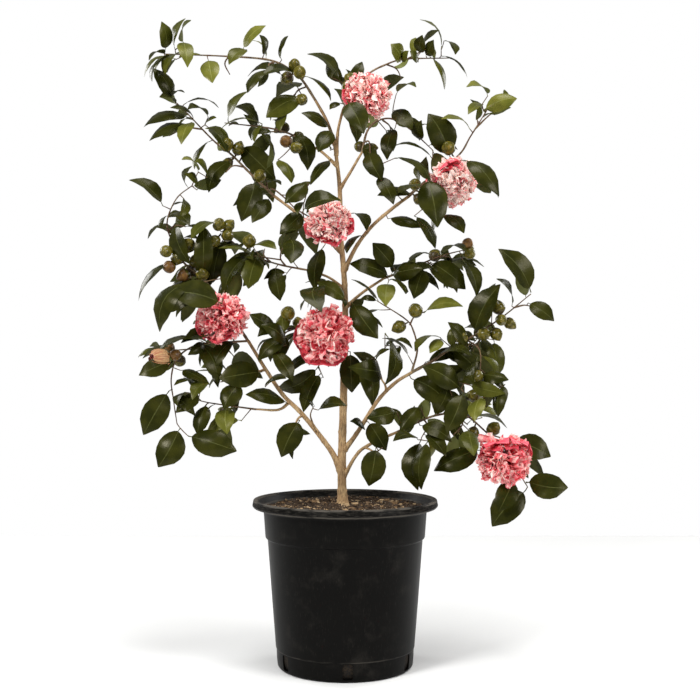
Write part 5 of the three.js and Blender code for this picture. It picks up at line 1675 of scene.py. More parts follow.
@dataclass
class Wood:
    """The trunk and its boughs, as one mesh with the bark's relief."""

    limbs: dict[str, LaidLimb]
    step: float = 3.5
    trunk_sides: int = 28
    bough_sides: int = 16
    collar: float = 0.5
    collar_length: float = 10.0
    collar_from: float = 0.6
    overlap: float = 4.0
    end_radius: float = 0.7
    ridge: float = 0.045
    ridges: int = 12
    node_step: float = 37.0
    node_swell: float = 0.11
    node_width: float = 2.6
    seed: int = 4
    finish: BarkFinish = BarkFinish("bark", (0.4, 0.25, 0.115), (0.17, 0.1, 0.045), (0.55, 0.38, 0.19))

    def relief(self, length: Array, angle: Array, rng: np.random.Generator) -> Array:
        """The bark's relief as a share of the radius.

        It is a sum of lengthwise waves, each the sine of a whole number of turns round the limb and a slow
        drift along it, with a low ring where each old leaf joined.

        Args:
            length: The distance along the limb of each ring.
            angle: The angle of each side.
            rng: The random numbers.

        Returns:
            The relief, as rings by sides.
        """
        turns = rng.integers(2, 10, self.ridges)[:, None, None]
        drift = rng.uniform(0.02, 0.14, self.ridges)[:, None, None]
        start = rng.uniform(0, 2 * math.pi, self.ridges)[:, None, None]
        waves = np.sin(turns * angle + drift * length[:, None] + start).sum(0) / math.sqrt(self.ridges)
        places = np.arange(rng.uniform(6, self.node_step), length[-1], self.node_step)
        places = places + rng.uniform(-8, 8, len(places))
        swell = np.exp(-((length[:, None] - places) / self.node_width) ** 2)
        lean = 1 + 0.6 * np.cos(angle[None, None] - GROWTH.turn * np.arange(len(places))[None, :, None])
        return waves * self.ridge + (swell[:, :, None] * lean).sum(1) * self.node_swell

    def make(self) -> None:
        """Builds the mesh, which replaces the CAD limbs."""
        rng = np.random.default_rng(self.seed)
        sheaf = Sheaf()
        for limb in self.limbs.values():
            line = resampled(limb.points, self.step)
            place = np.linspace(0, line_length(line), len(line))
            radii = mix(*limb.plan.radius, place / place[-1])
            sides = self.bough_sides if limb.plan.parent else self.trunk_sides
            if limb.plan.parent:
                line = np.vstack((line, line[-1] + unit(line[-1] - line[-2]) * self.overlap))
                place = np.append(place, place[-1] + self.overlap)
                clear = np.maximum(0, place - self.limbs[limb.plan.parent].radii[0] * self.collar_from)
                radii = np.append(radii, radii[-1] * self.end_radius)
                radii = radii * (1 + self.collar * np.exp(-clear / self.collar_length))
            else:
                radii = flared(radii, line[:, 2] - line[0, 2])
            relief = self.relief(place, round_angles(sides), rng)
            points = tubes(line[None], (radii[:, None] * (1 + relief))[None], sides)
            if not limb.plan.parent:
                points[..., 2] = np.maximum(points[..., 2], line[0, 2])
            sheaf.add(points, tube_quads(len(line), sides))
        bark = sheaf.piece("trunk_and_boughs", build(self.finish), "bark", sharp=75)
        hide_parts(*self.limbs)


@dataclass
class Stems:
    """The leafy masses' stems, shoots, twigs and leaf stalks, joined."""

    masses: list[Foliage]
    step: float = 5.0
    sides: int = 8
    twig_sides: int = 6
    rings: int = 6
    woody: float = 1.75
    slimmer: float = 0.85
    twig_foot: float = 1.1
    knot: float = 0.16
    sag: float = 0.06
    seed: int = 9
    wood: BarkFinish = BarkFinish("stem_bark", (0.19, 0.115, 0.06), (0.07, 0.04, 0.022), (0.28, 0.2, 0.11))
    green: PlainFinish = PlainFinish("twig_skin", (0.10, 0.045, 0.025), (0.15, 0.10, 0.04), 0.55)

    def knotted(self, radii: Array, rng: np.random.Generator) -> Array:
        """Returns a stem's radii with a slight swelling at every few rings, where leaves join."""
        beat = np.arange(len(radii)) * 0.9 + rng.uniform(0, 6)
        return radii * (1 + self.knot * np.maximum(0, np.cos(beat)) ** 3)

    def make(self) -> None:
        """Builds the joined mesh: older stems in bark, and young twigs in a green skin."""
        rng = np.random.default_rng(self.seed)
        sheaf = Sheaf()
        for mass in self.masses:
            for k, coarse in enumerate(mass.lines):
                line = resampled(coarse if k else mass.stem_points, self.step)
                first = GROWTH.shoot_radius if k else mass.plan.radius[0]
                share = np.linspace(0, 1, len(line))
                radii = self.knotted(mix(first, mass.plan.radius[1] * self.slimmer, share), rng)
                young = radii[ring_of_faces(len(line), self.sides)] < self.woody
                sheaf.add_tubes(line[None], radii[None], self.sides, young.astype(int))
        share = np.linspace(0, 1, self.rings)
        for kind, (foot, tip) in (("twigs", FIRST.twig_radius), ("fine_twigs", FINER.twig_radius)):
            ends = np.array([twig for mass in self.masses for twig in getattr(mass, kind)])
            start, end = ends[:, :1], ends[:, 1:]
            dip = rng.normal(0, 1, start.shape) * self.sag * length_of(end - start)[..., None]
            line = mix(start, end, share[:, None]) + dip * (share * (1 - share))[:, None]
            radii = np.tile(mix(foot * self.twig_foot, tip, share), (len(ends), 1))
            sheaf.add_tubes(line, radii, self.twig_sides, 1)
        sheaf.piece("twigs", build(self.wood, self.green), "foliage", sharp=75)


LEAF_FINISHES = {
    Age.DARK: (LeafFinish("leaf_dark", (0.0165, 0.0185, 0.0022), (0.031, 0.032, 0.004), 0.26, 0.13),
               PlainFinish("rib_dark", (0.045, 0.05, 0.01), (0.07, 0.072, 0.016), 0.45, gloss=0.12),
               LeafFinish("leaf_dark_underside", (0.05, 0.055, 0.014), (0.07, 0.075, 0.02), 0.5, 0.15)),
    Age.GREEN: (LeafFinish("leaf_green", (0.042, 0.046, 0.005), (0.068, 0.07, 0.009), 0.28, 0.15),
                PlainFinish("rib_green", (0.085, 0.09, 0.016), (0.12, 0.125, 0.025), 0.45, gloss=0.12),
                LeafFinish("leaf_green_underside", (0.07, 0.078, 0.017), (0.095, 0.1, 0.025), 0.5, 0.15)),
    Age.YOUNG: (LeafFinish("leaf_young", (0.09, 0.095, 0.012), (0.14, 0.14, 0.02), 0.3, 0.18),
                PlainFinish("rib_young", (0.17, 0.18, 0.04), (0.22, 0.22, 0.06), 0.45, gloss=0.12),
                LeafFinish("leaf_young_underside", (0.12, 0.135, 0.03), (0.16, 0.175, 0.042), 0.5, 0.18)),
}


@dataclass
class Blades:
    """The leaves of one age, as thin shells folded along a pale rib, with their stalks.

    The finishes of an age are those of the upper side, of rib and stalk, and of the lower side.
    """

    age: Age
    leaves: list[Leaf]
    across: tuple[float, ...] = (-1.0, -0.56, -0.035, 0.035, 0.56, 1.0)
    rows: int = 10
    stalk_share: float = 0.09
    thickness: float = 0.7
    fold: tuple[float, float] = (0.05, 0.42)
    droop: tuple[float, float] = (0.05, 0.5)
    slim: float = 0.9
    slim_spread: tuple[float, float] = (0.86, 1.08)
    roll: float = 0.3
    edge_on_share: float = 0.3
    edge_on_roll: tuple[float, float] = (0.75, 1.25)
    arching: tuple[float, float] = (1.0, 2.1)
    shown_arching: float = 1.2
    shown_twist: float = 0.6
    shown_slim: float = 1.1
    twist: float = 0.35
    sickle: float = 0.04
    wave: float = 0.07
    curl: float = 0.12
    stalk_radius: float = 0.011
    stalk_limits: tuple[float, float] = (0.55, 1.1)
    stalk_sag: float = -0.02
    stalk_rings: int = 4
    stalk_sides: int = 5
    seed: int = 21

    @staticmethod
    def half_width(s: Array) -> Array:
        """The outline: widest below the middle, round at the base, drawn out to a drip tip.

        Args:
            s: The share of the way along.

        Returns:
            Half the width there, as a share of the most.
        """
        body = (4 * s * (1 - s)) ** 0.64 * (1 + 0.26 * (0.5 - s))
        tip = np.clip((s - 0.78) / 0.18, 0, 1)
        return np.maximum(body * (1 - 0.42 * tip * tip * (3 - 2 * tip)), mix(0.05, 0.012, s))

    def all(self, key: str) -> Array:
        """Returns one value of every leaf."""
        return np.array([getattr(leaf, key) for leaf in self.leaves])

    def rolled(self, chord: Array, normal: Array, rng: np.random.Generator) -> Array:
        """Turns some leaves about their ribs until they are nearly edge-on, upper side still up.

        Args:
            chord: Each leaf's unit direction.
            normal: The way that its upper side faces.
            rng: The random numbers.

        Returns:
            The new ways that they face.
        """
        each = (len(chord), 1)
        side = np.cross(chord, normal)
        side = side * np.where(side[:, 2:] < 0, -1.0, 1.0)
        edge_on = rng.uniform(size=each) < self.edge_on_share
        turn = np.where(edge_on, rng.uniform(*self.edge_on_roll, each), rng.normal(0, self.roll, each))
        return unit(normal * np.cos(turn) + side * np.sin(turn))

    def surface(self, rng: np.random.Generator) -> tuple[Array, Array, Array]:
        """The upper sides of all the leaves.

        The rib runs from root to tip, raised by four times the arch times share times the rest, and curls
        down towards the tip. Each side lies off it by the outline, lifted by the fold times its distance and
        lowered by the droop times that distance squared, with a wave along the rim, and turned about the rib
        by the twist.

        Args:
            rng: The random numbers.

        Returns:
            The points as leaves by rows by columns, the start of each blade, and each leaf's length.
        """
        root, shown = self.all("root"), self.all("shown")[:, None]
        each, middle = (len(root), 1), len(self.across) // 2
        chord = self.all("tip") - root
        length = length_of(chord)[:, None]
        normal = np.where(shown, self.all("normal"), self.rolled(unit(chord), self.all("normal"), rng))
        side = np.cross(unit(chord), normal)
        arching = np.where(shown, self.shown_arching, rng.uniform(*self.arching, each))
        s = (0.5 - 0.5 * np.cos(np.linspace(0, math.pi, self.rows)))[None]
        along_it = self.stalk_share + (1 - self.stalk_share) * s
        v = np.array(self.across)[None, None]
        fold = rng.uniform(*self.fold, each)[..., None]
        droop = rng.uniform(*self.droop, (*each, 1))
        twist = rng.normal(0, self.twist, each) * np.where(shown, self.shown_twist, 1.0) * (s - 0.3)
        sway = rng.normal(0, self.sickle, each) * length * 4 * s * (1 - s)
        curl = rng.uniform(0.1, 1, each) * self.curl * length * s ** 4
        slim = np.where(shown, self.shown_slim, self.slim * rng.uniform(*self.slim_spread, each))
        half = (self.all("width")[:, None] * 0.5 * self.half_width(s) * slim)[..., None]
        rib_lift = self.all("arch")[:, None] * arching * 4 * along_it * (1 - along_it) - curl
        phase = rng.uniform(*PHASE, (*each, 1))
        rim_wave = np.sin(8 * s[..., None] + phase + 1.5 * v) * v * v * self.wave
        lift = half * (fold * np.abs(v) - droop * v * v + rim_wave)
        out = half * v * (1 - 0.12 * fold * np.abs(v))
        cos, sin = np.cos(twist)[..., None], np.sin(twist)[..., None]
        sideways = out * cos - lift * sin + sway[..., None]
        upwards = out * sin + lift * cos + rib_lift[..., None]
        points = (root[:, None, None] + chord[:, None, None] * along_it[..., None, None]
                  + side[:, None, None] * sideways[..., None] + normal[:, None, None] * upwards[..., None])
        return points, (points[:, 0, middle - 1] + points[:, 0, middle]) / 2, length

    def make(self) -> bpy.types.Object:
        """Builds the joined mesh.

        Returns:
            The piece.
        """
        points, start, length = self.surface(np.random.default_rng(self.seed))
        gaps = len(self.across) - 1
        on_rib = np.tile((np.arange(gaps) == gaps // 2).astype(int), self.rows - 1)
        sheaf = Sheaf()
        sheaf.add(shells(points, self.thickness), shell_quads(self.rows, gaps + 1),
                  np.concatenate((on_rib, np.full(len(on_rib), 2))))
        share = np.linspace(0, 1, self.stalk_rings)[None, :, None]
        sag = UP * (self.stalk_sag * length[..., None] * share * (1 - share))
        radii = np.clip(length * self.stalk_radius, *self.stalk_limits) * mix(1.1, 0.8, share[..., 0])
        line = mix(self.all("root")[:, None], start[:, None], share) + sag
        sheaf.add_tubes(line, radii, self.stalk_sides, 1)
        return sheaf.piece(f"leaves_{self.age.value}", build(*LEAF_FINISHES[self.age]), "foliage", sharp=62)


@dataclass
class Buds:
    """Round flower buds of overlapping scales on short stalks, joined."""

    buds: list[Bud]
    sides: int = 15
    rings: int = 15
    rows_of_scales: float = 3.6
    scale_lift: float = 0.1
    brown_share: float = 0.2
    plumper: float = 1.5
    edge_from: float = 0.7
    edge_reach: float = 0.4
    foot_share: float = 0.16
    brown_from: float = 0.3
    neck_rings: int = 4
    neck_sides: int = 6
    neck_radius: tuple[float, float] = (1.3, 1.9)
    seed: int = 33
    finishes: tuple[PlainFinish, ...] = (
        PlainFinish("bud_foot", (0.045, 0.032, 0.01), (0.08, 0.055, 0.016), 0.4),
        PlainFinish("bud_scale", (0.062, 0.056, 0.006), (0.12, 0.1, 0.011), 0.26),
        PlainFinish("bud_edge", (0.12, 0.1, 0.013), (0.18, 0.14, 0.022), 0.3),
        PlainFinish("bud_browned", (0.1, 0.045, 0.012), (0.2, 0.1, 0.022), 0.38))

    def make(self) -> None:
        """Builds the joined mesh.

        A bud is a ball drawn out to a blunt point. Its radius is the sine of the way along it, raised in
        rows of scales that are proud at their upper edge and set half a scale round from row to row.
        """
        rng = np.random.default_rng(self.seed)
        root, centre = (np.array([getattr(bud, key) for bud in self.buds]) for key in ("root", "centre"))
        radius = np.array([bud.radius for bud in self.buds])[:, None] * self.plumper
        each, front = (len(root), 1), unit(centre - root)
        t = np.linspace(0.02, 0.99, self.rings)[None]
        line = centre[:, None] + front[:, None] * (radius * mix(-1.0, 1.28, t))[..., None]
        plump = rng.uniform(0.86, 1.0, each)
        profile = np.maximum(radius * plump * np.sin(math.pi * t ** 0.86) ** 0.72, 0.12 * radius)
        row = t * self.rows_of_scales + rng.uniform(0, 1, each)
        arc = np.abs(np.cos(round_angles(self.sides) * 1.5 + (np.floor(row) * 2.2)[..., None]))
        lift = 1 + self.scale_lift * (arc * (row % 1)[..., None] - 0.4)
        ring = ring_of_faces(self.rings, self.sides)
        side = np.arange(len(ring)) % self.sides
        on_edge = (row[:, ring] % 1 > self.edge_from) & (arc[:, ring, side] > self.edge_reach)
        stuff = np.where(ring < self.rings * self.foot_share, 0, np.where(on_edge, 2, 1))
        browned = rng.uniform(size=each) < self.brown_share
        stuff = np.where(browned & (ring > self.rings * self.brown_from), 3, stuff)
        sheaf = Sheaf()
        sheaf.add_tubes(line, profile[..., None] * lift, self.sides, stuff)
        share = np.linspace(0, 1, self.neck_rings)[None, :, None]
        neck = mix(root[:, None], (centre - front * radius * 0.8)[:, None], share)
        sheaf.add_tubes(neck, mix(*self.neck_radius, share[..., 0]) * np.ones(each), self.neck_sides)
        sheaf.piece("buds", build(*self.finishes), "foliage", sharp=50)


class Tint(Enum):
    """The numbers of flowers' finishes; 0 to 3 run from white to crimson."""

    BLUSH = 1
    CRIMSON = 3
    GUARD = 4
    GREEN = 5
    FOLDED = 6


PETAL_FINISHES = (
    PetalFinish("petal_white", (1.0, 0.78, 0.71), (0.94, 0.5, 0.46), 0.1),
    PetalFinish("petal_blush", (0.95, 0.5, 0.47), (0.84, 0.22, 0.23), 0.3),
    PetalFinish("petal_pink", (0.88, 0.27, 0.28), (0.76, 0.09, 0.12), 0.45),
    PetalFinish("petal_crimson", (0.76, 0.065, 0.09), (0.6, 0.025, 0.045), 0.5),
    PetalFinish("guard_petal", (0.84, 0.12, 0.16), (0.7, 0.045, 0.08), 0.45),
    PlainFinish("flower_scale", (0.07, 0.08, 0.015), (0.14, 0.14, 0.03), 0.45),
    PetalFinish("petal_folded", (0.56, 0.33, 0.15), (0.34, 0.1, 0.045), 0.5),
)


def frame_of(flower: Flower) -> tuple[Array, Array, Array, Array]:
    """A flower's own axes.

    Args:
        flower: The flower.

    Returns:
        Its centre and its front, up and side directions.
    """
    front = unit(np.array(flower.facing, float))
    up = perpendicular(front, UP)
    return np.array(flower.at, float), front, up, np.cross(up, front)


@dataclass
class Blossom:
    """A full double blossom: a ball of ruffled small petals on a cup of broad guard petals."""

    flower: Flower
    seed: int
    depth: float
    shows: tuple[float, ...]
    guards: int = 8
    guard_length: float = 0.8
    guard_extra: float = 0.26
    guard_foot: float = 0.08
    petals: int = 160
    rows: int = 6
    columns: int = 8
    thickness: float = 0.6

    def guard_surface(self, rng: np.random.Generator) -> Array:
        """The broad petals behind.

        Each runs outwards from the back of the centre and forwards, its width growing quickly and closing
        in a round, slightly notched end, cupped across and waved at the rim. Those near the named angles are
        longer, and show past the ball.

        Args:
            rng: The random numbers.

        Returns:
            The points, as petals by rows by columns.
        """
        centre, front, up, side = frame_of(self.flower)
        radius, shows = self.flower.radius, np.radians(np.array(self.shows))
        turn = np.concatenate((shows, round_angles(self.guards) + rng.uniform(*PHASE)))[:, None, None]
        each = turn.shape
        longer = (np.arange(len(turn)) < len(shows)).astype(float)[:, None, None]
        u = (0.5 - 0.5 * np.cos(np.linspace(0, math.pi, self.rows + 2)))[None, :, None]
        v = np.linspace(-1, 1, self.columns + 2)[None, None]
        reach = radius * (self.guard_length + self.guard_extra * longer) * rng.uniform(0.95, 1.0, each)
        half = radius * 0.5 * (1 - (1 - u) ** 2.6) ** 0.6 * np.sqrt(np.maximum(0.012, 1 - u ** 7))
        notch = 0.05 * radius * np.exp(-(v / 0.25) ** 2) * u ** 6
        foot = radius * self.guard_foot
        outwards = foot + (reach - foot) * u * (1 - 0.07 * v * v) - notch
        curl = rng.uniform(-0.05, 0.3, each)
        ruffle = 0.035 * np.sin(3 * v + rng.uniform(*PHASE, each)) * u * u
        forwards = radius * (-0.5 + 0.04 * longer + 0.5 * u ** 1.5 - curl * u ** 5 + 0.2 * v * v * u
                             + ruffle)
        across, cos, sin = half * v, np.cos(turn), np.sin(turn)
        x, y = outwards * cos - across * sin, outwards * sin + across * cos
        return centre + (side * x[..., None] + up * y[..., None] + front * forwards[..., None])

    def small_surface(self, rng: np.random.Generator) -> Array:
        """The small petals that fill the ball.

        They stand out from the middle in directions spread evenly by the golden angle. Each is a fan whose
        rim is thrown into folds: its offset is a sine of the way across times the square of the way up, and
        its end curls over to one side.

        Args:
            rng: The random numbers.

        Returns:
            The points, as petals by rows by columns.
        """
        centre, front, up, side = frame_of(self.flower)
        radius, each = self.flower.radius, (self.petals, 1, 1)
        n = np.arange(self.petals) + 0.5
        slant = np.arccos(1 - n / self.petals * 1.3)[:, None]
        turn = (n * math.pi * (3 - math.sqrt(5)) + rng.normal(0, 0.15, self.petals))[:, None]
        way = front * np.cos(slant) + (side * np.cos(turn) + up * np.sin(turn)) * np.sin(slant)
        way = unit(way + rng.normal(0, 0.06, way.shape))
        broad = perpendicular(way, unit(rng.normal(0, 1, way.shape)))
        u = (1 - (1 - np.linspace(0, 1, self.rows)) ** 1.5)[None, :, None]
        v = np.linspace(-1, 1, self.columns)[None, None]
        reach = radius * (0.9 - 0.08 * np.cos(slant))[..., None] * rng.uniform(0.9, 1.06, each)
        half = radius * rng.uniform(0.12, 0.225, each) * (0.25 + 0.75 * u)
        folds = rng.uniform(2.4, 5.2, each)
        phase = rng.uniform(*PHASE, each)
        throw = radius * rng.uniform(0.06, 0.12, each)
        curl = radius * rng.uniform(-0.2, 0.2, each) * u ** 4
        lift = throw * np.sin(folds * v + phase) * u * u + curl
        scallop = 0.03 * radius * np.sin(2 * folds * v + phase * 2)
        length = reach * (0.2 + 0.8 * u) - (radius * 0.09 * v * v - scallop) * u * u - np.abs(curl) * 0.5
        aside = rng.normal(0, 0.16, (self.petals, 3))
        start = centre + (aside - dot(aside, way)[:, None] * way - front * 0.1) * radius
        out = [way[:, None, None] * length[..., None],
               broad[:, None, None] * (half * v * (1 - 0.12 * u))[..., None],
               np.cross(way, broad)[:, None, None] * lift[..., None]]
        return start[:, None, None] + out[0] + out[1] + out[2]

    def deal(self, rng: np.random.Generator) -> Array:
        """Deals colours to the small petals' faces: pale rims, and streaks of deeper colour below them.

        Args:
            rng: The random numbers.

        Returns:
            A finish's number for each face, as petals by faces.
        """
        rows, columns, depth = self.rows - 1, self.columns - 1, self.depth
        shares = ((0.85 - 0.75 * depth, 0.13 + 0.55 * depth, 0.02 + 0.2 * depth, 0.0),
                  (0.74 - 0.78 * depth, 0.2 + 0.27 * depth, 0.05 + 0.37 * depth, 0.01 + 0.14 * depth),
                  (0.6 - 0.6 * depth, 0.29 - 0.19 * depth, 0.08 + 0.4 * depth, 0.03 + 0.39 * depth))
        rim, middle, deep = (rng.choice(4, (self.petals, 1), p=share) for share in shares)
        streaked = rng.uniform(size=(self.petals, columns)) < 0.08 + 0.14 * depth
        faces = np.tile(deep[:, None], (rows, columns))
        faces[:, -1], faces[:, -2] = rim, middle
        faces = np.where(streaked[:, None], np.minimum(faces + 1, Tint.CRIMSON.value), faces)
        return np.tile(faces.reshape(self.petals, -1), 2)

    def add_to(self, sheaf: Sheaf) -> None:
        """Adds the blossom's petals to a sheaf.

        Args:
            sheaf: The sheaf.
        """
        rng = np.random.default_rng(self.seed)
        sheaf.add_petals(self.guard_surface(rng), self.thickness, Tint.GUARD.value)
        small = self.small_surface(rng)
        sheaf.add_petals(small, self.thickness, self.deal(rng))


@dataclass
class OpeningBud:
    """A blossom just opening: wrapped striped petals in a cup of green scales."""

    flower: Flower
    petals: int = 7
    scales: int = 5
    rows: int = 9
    columns: int = 7
    thickness: float = 0.5

    def wraps(self, count: int, reach: float, width: float, swell: float, turn: float) -> Array:
        """Petals that lie round a ball, each one a strip of it from its foot towards its tip.

        Args:
            count: How many there are.
            reach: How far round the ball they go, in radians.
            width: Half the width of a strip, in radians.
            swell: The ball's size as a share of the bud's radius.
            turn: The angle of the first.

        Returns:
            The points, as petals by rows by columns.
        """
        centre, front, up, side = frame_of(self.flower)
        u = np.linspace(0.04, 1, self.rows)[None, :, None]
        v = np.linspace(-1, 1, self.columns)[None, None]
        which = np.arange(count)[:, None, None]
        angle = turn + which * 2 * math.pi / count + v * (width * np.sqrt(np.maximum(0.03, 1 - u ** 4)))
        size = self.flower.radius * swell * (1 + 0.07 * v + 0.03 * (which % 2))
        ring, ahead = size * np.sin(u * reach) * 0.92, -size * np.cos(u * reach) * 1.12
        return (centre + side * (ring * np.cos(angle))[..., None] + up * (ring * np.sin(angle))[..., None]
                + front * ahead[..., None])

    def add_to(self, sheaf: Sheaf) -> None:
        """Adds the bud's petals and scales to a sheaf.

        Args:
            sheaf: The sheaf.
        """
        for tint, *wrap in ((Tint.BLUSH, self.petals, 2.75, 0.85, 0.8, 0.0),
                            (Tint.FOLDED, self.petals, 2.75, 0.85, 0.9, 0.5),
                            (Tint.GREEN, self.scales, 1.15, 0.75, 1.03, 0.2)):
            sheaf.add_petals(self.wraps(*wrap), self.thickness, tint.value)


def lathe(profile: Array, sides: int, top: float) -> tuple[Array, Array]:
    """A closed shape turned about the upright axis, from the middle of its foot to the middle of its top.

    Args:
        profile: Radius and height of each ring.
        sides: Points in a ring.
        top: The height at which the axis is met again.

    Returns:
        Its points and its faces.
    """
    angle, (radius, height) = round_angles(sides), profile.T[..., None]
    rings = np.stack(np.broadcast_arrays(radius * np.cos(angle), radius * np.sin(angle), height), -1)
    ends = np.array(((0, 0, profile[0, 1]), (0, 0, top)))
    return np.vstack((ends[:1], rings.reshape(-1, 3), ends[1:])), tube_quads(len(profile), sides)


@dataclass
class Pot:
    """The round growing pot: a lathed wall with a rolled rim, a stepped collar and slots at the foot."""

    foot_radius: float = 120
    foot_corner: float = 6
    floor: float = 4
    wall: float = 2.5
    foot_inset: float = 2
    body: tuple[tuple[float, float], ...] = ((121.5, 18), (122, 33), (123.2, 34.4), (131, 133), (137.8, 226),
                                             (141.7, 228.5), (145, 276))
    inside_of: tuple[int, ...] = (0, 3, 4, 6)
    rim: tuple[tuple[float, float], ...] = ((148, 279), (162, 281), (165, 284.5), (163, 295), (157, 295),
                                            (149, 284))
    sides: int = 160
    rounding: float = 1.6
    round_share: float = 0.42
    sharp: float = 32
    slots: int = 6
    slot_width: float = 18
    slot_height: tuple[float, float] = (5, 32)
    slot_depth: tuple[float, float] = (105, 132)
    slot_sides: int = 24
    first_slot: float = -88
    slot_corner: float = 4
    finish: PlasticFinish = PlasticFinish()

    def profile(self) -> Array:
        """The wall's outline up its outside, over the rim and down its inside, with rounded corners.

        Each corner is swapped for a quadratic curve between the places a short way before and after it.

        Returns:
            Radius and height of each point.
        """
        inside = [(self.body[i][0] - self.wall, self.body[i][1]) for i in reversed(self.inside_of)]
        inner_foot = self.foot_radius - self.wall - self.foot_inset
        outside = [(self.foot_radius, 0), *self.body, *self.rim]
        way = np.array([(0, 0), *outside, *inside, (inner_foot, self.floor), (0, self.floor)], float)
        corners = way[1:-1]
        room = np.full(len(corners), self.rounding)
        room[0] = self.foot_corner
        start, end = (corners + unit(other - corners)
                      * np.minimum(room, length_of(other - corners) * self.round_share)[:, None]
                      for other in (way[:-2], way[2:]))
        t = np.linspace(0, 1, 5)[None, :, None]
        curve = (1 - t) ** 2 * start[:, None] + 2 * t * (1 - t) * corners[:, None] + t ** 2 * end[:, None]
        return curve.reshape(-1, 2)

    def slot_cutter(self) -> bpy.types.Object:
        """A ring of round-cornered blocks that reach through the wall where the slots are.

        Returns:
            The cutter.
        """
        low, high = self.slot_height
        turn, sheaf = round_angles(self.slot_sides), Sheaf()
        wide, tall = (np.sign(wave) * (half - self.slot_corner) + self.slot_corner * wave for wave, half in
                      ((np.cos(turn), self.slot_width / 2), (np.sin(turn), (high - low) / 2)))
        for i in range(self.slots):
            angle = math.radians(self.first_slot + 360 / self.slots * i)
            out = np.array((math.cos(angle), math.sin(angle), 0))
            ring = np.cross(UP, out) * wide[:, None] + UP * (tall + (low + high) / 2)[:, None]
            inner, outer = (ring + out * depth for depth in self.slot_depth)
            ends = (inner.mean(0)[None], inner, outer, outer.mean(0)[None])
            sheaf.add(np.vstack(ends), tube_quads(2, self.slot_sides))
        return sheaf.piece("slot_cutter", build(self.finish), "pot")

    def make(self) -> None:
        """Builds the pot and cuts its slots; it replaces the CAD pot."""
        sheaf = Sheaf()
        sheaf.add(*lathe(self.profile(), self.sides, self.floor))
        pot = sheaf.piece("nursery_pot", build(self.finish), "pot", self.sharp)
        knife = self.slot_cutter()
        cut = pot.modifiers.new("slots", "BOOLEAN")
        cut.operation, cut.object, cut.solver = "DIFFERENCE", knife, "EXACT"
        graph = bpy.context.evaluated_depsgraph_get()
        cut_mesh = bpy.data.meshes.new_from_object(pot.evaluated_get(graph))
        pot.modifiers.clear()
        pot.data = cut_mesh
        smooth_over(cut_mesh, self.sharp)
        bpy.data.objects.remove(knife)
        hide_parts("pot")


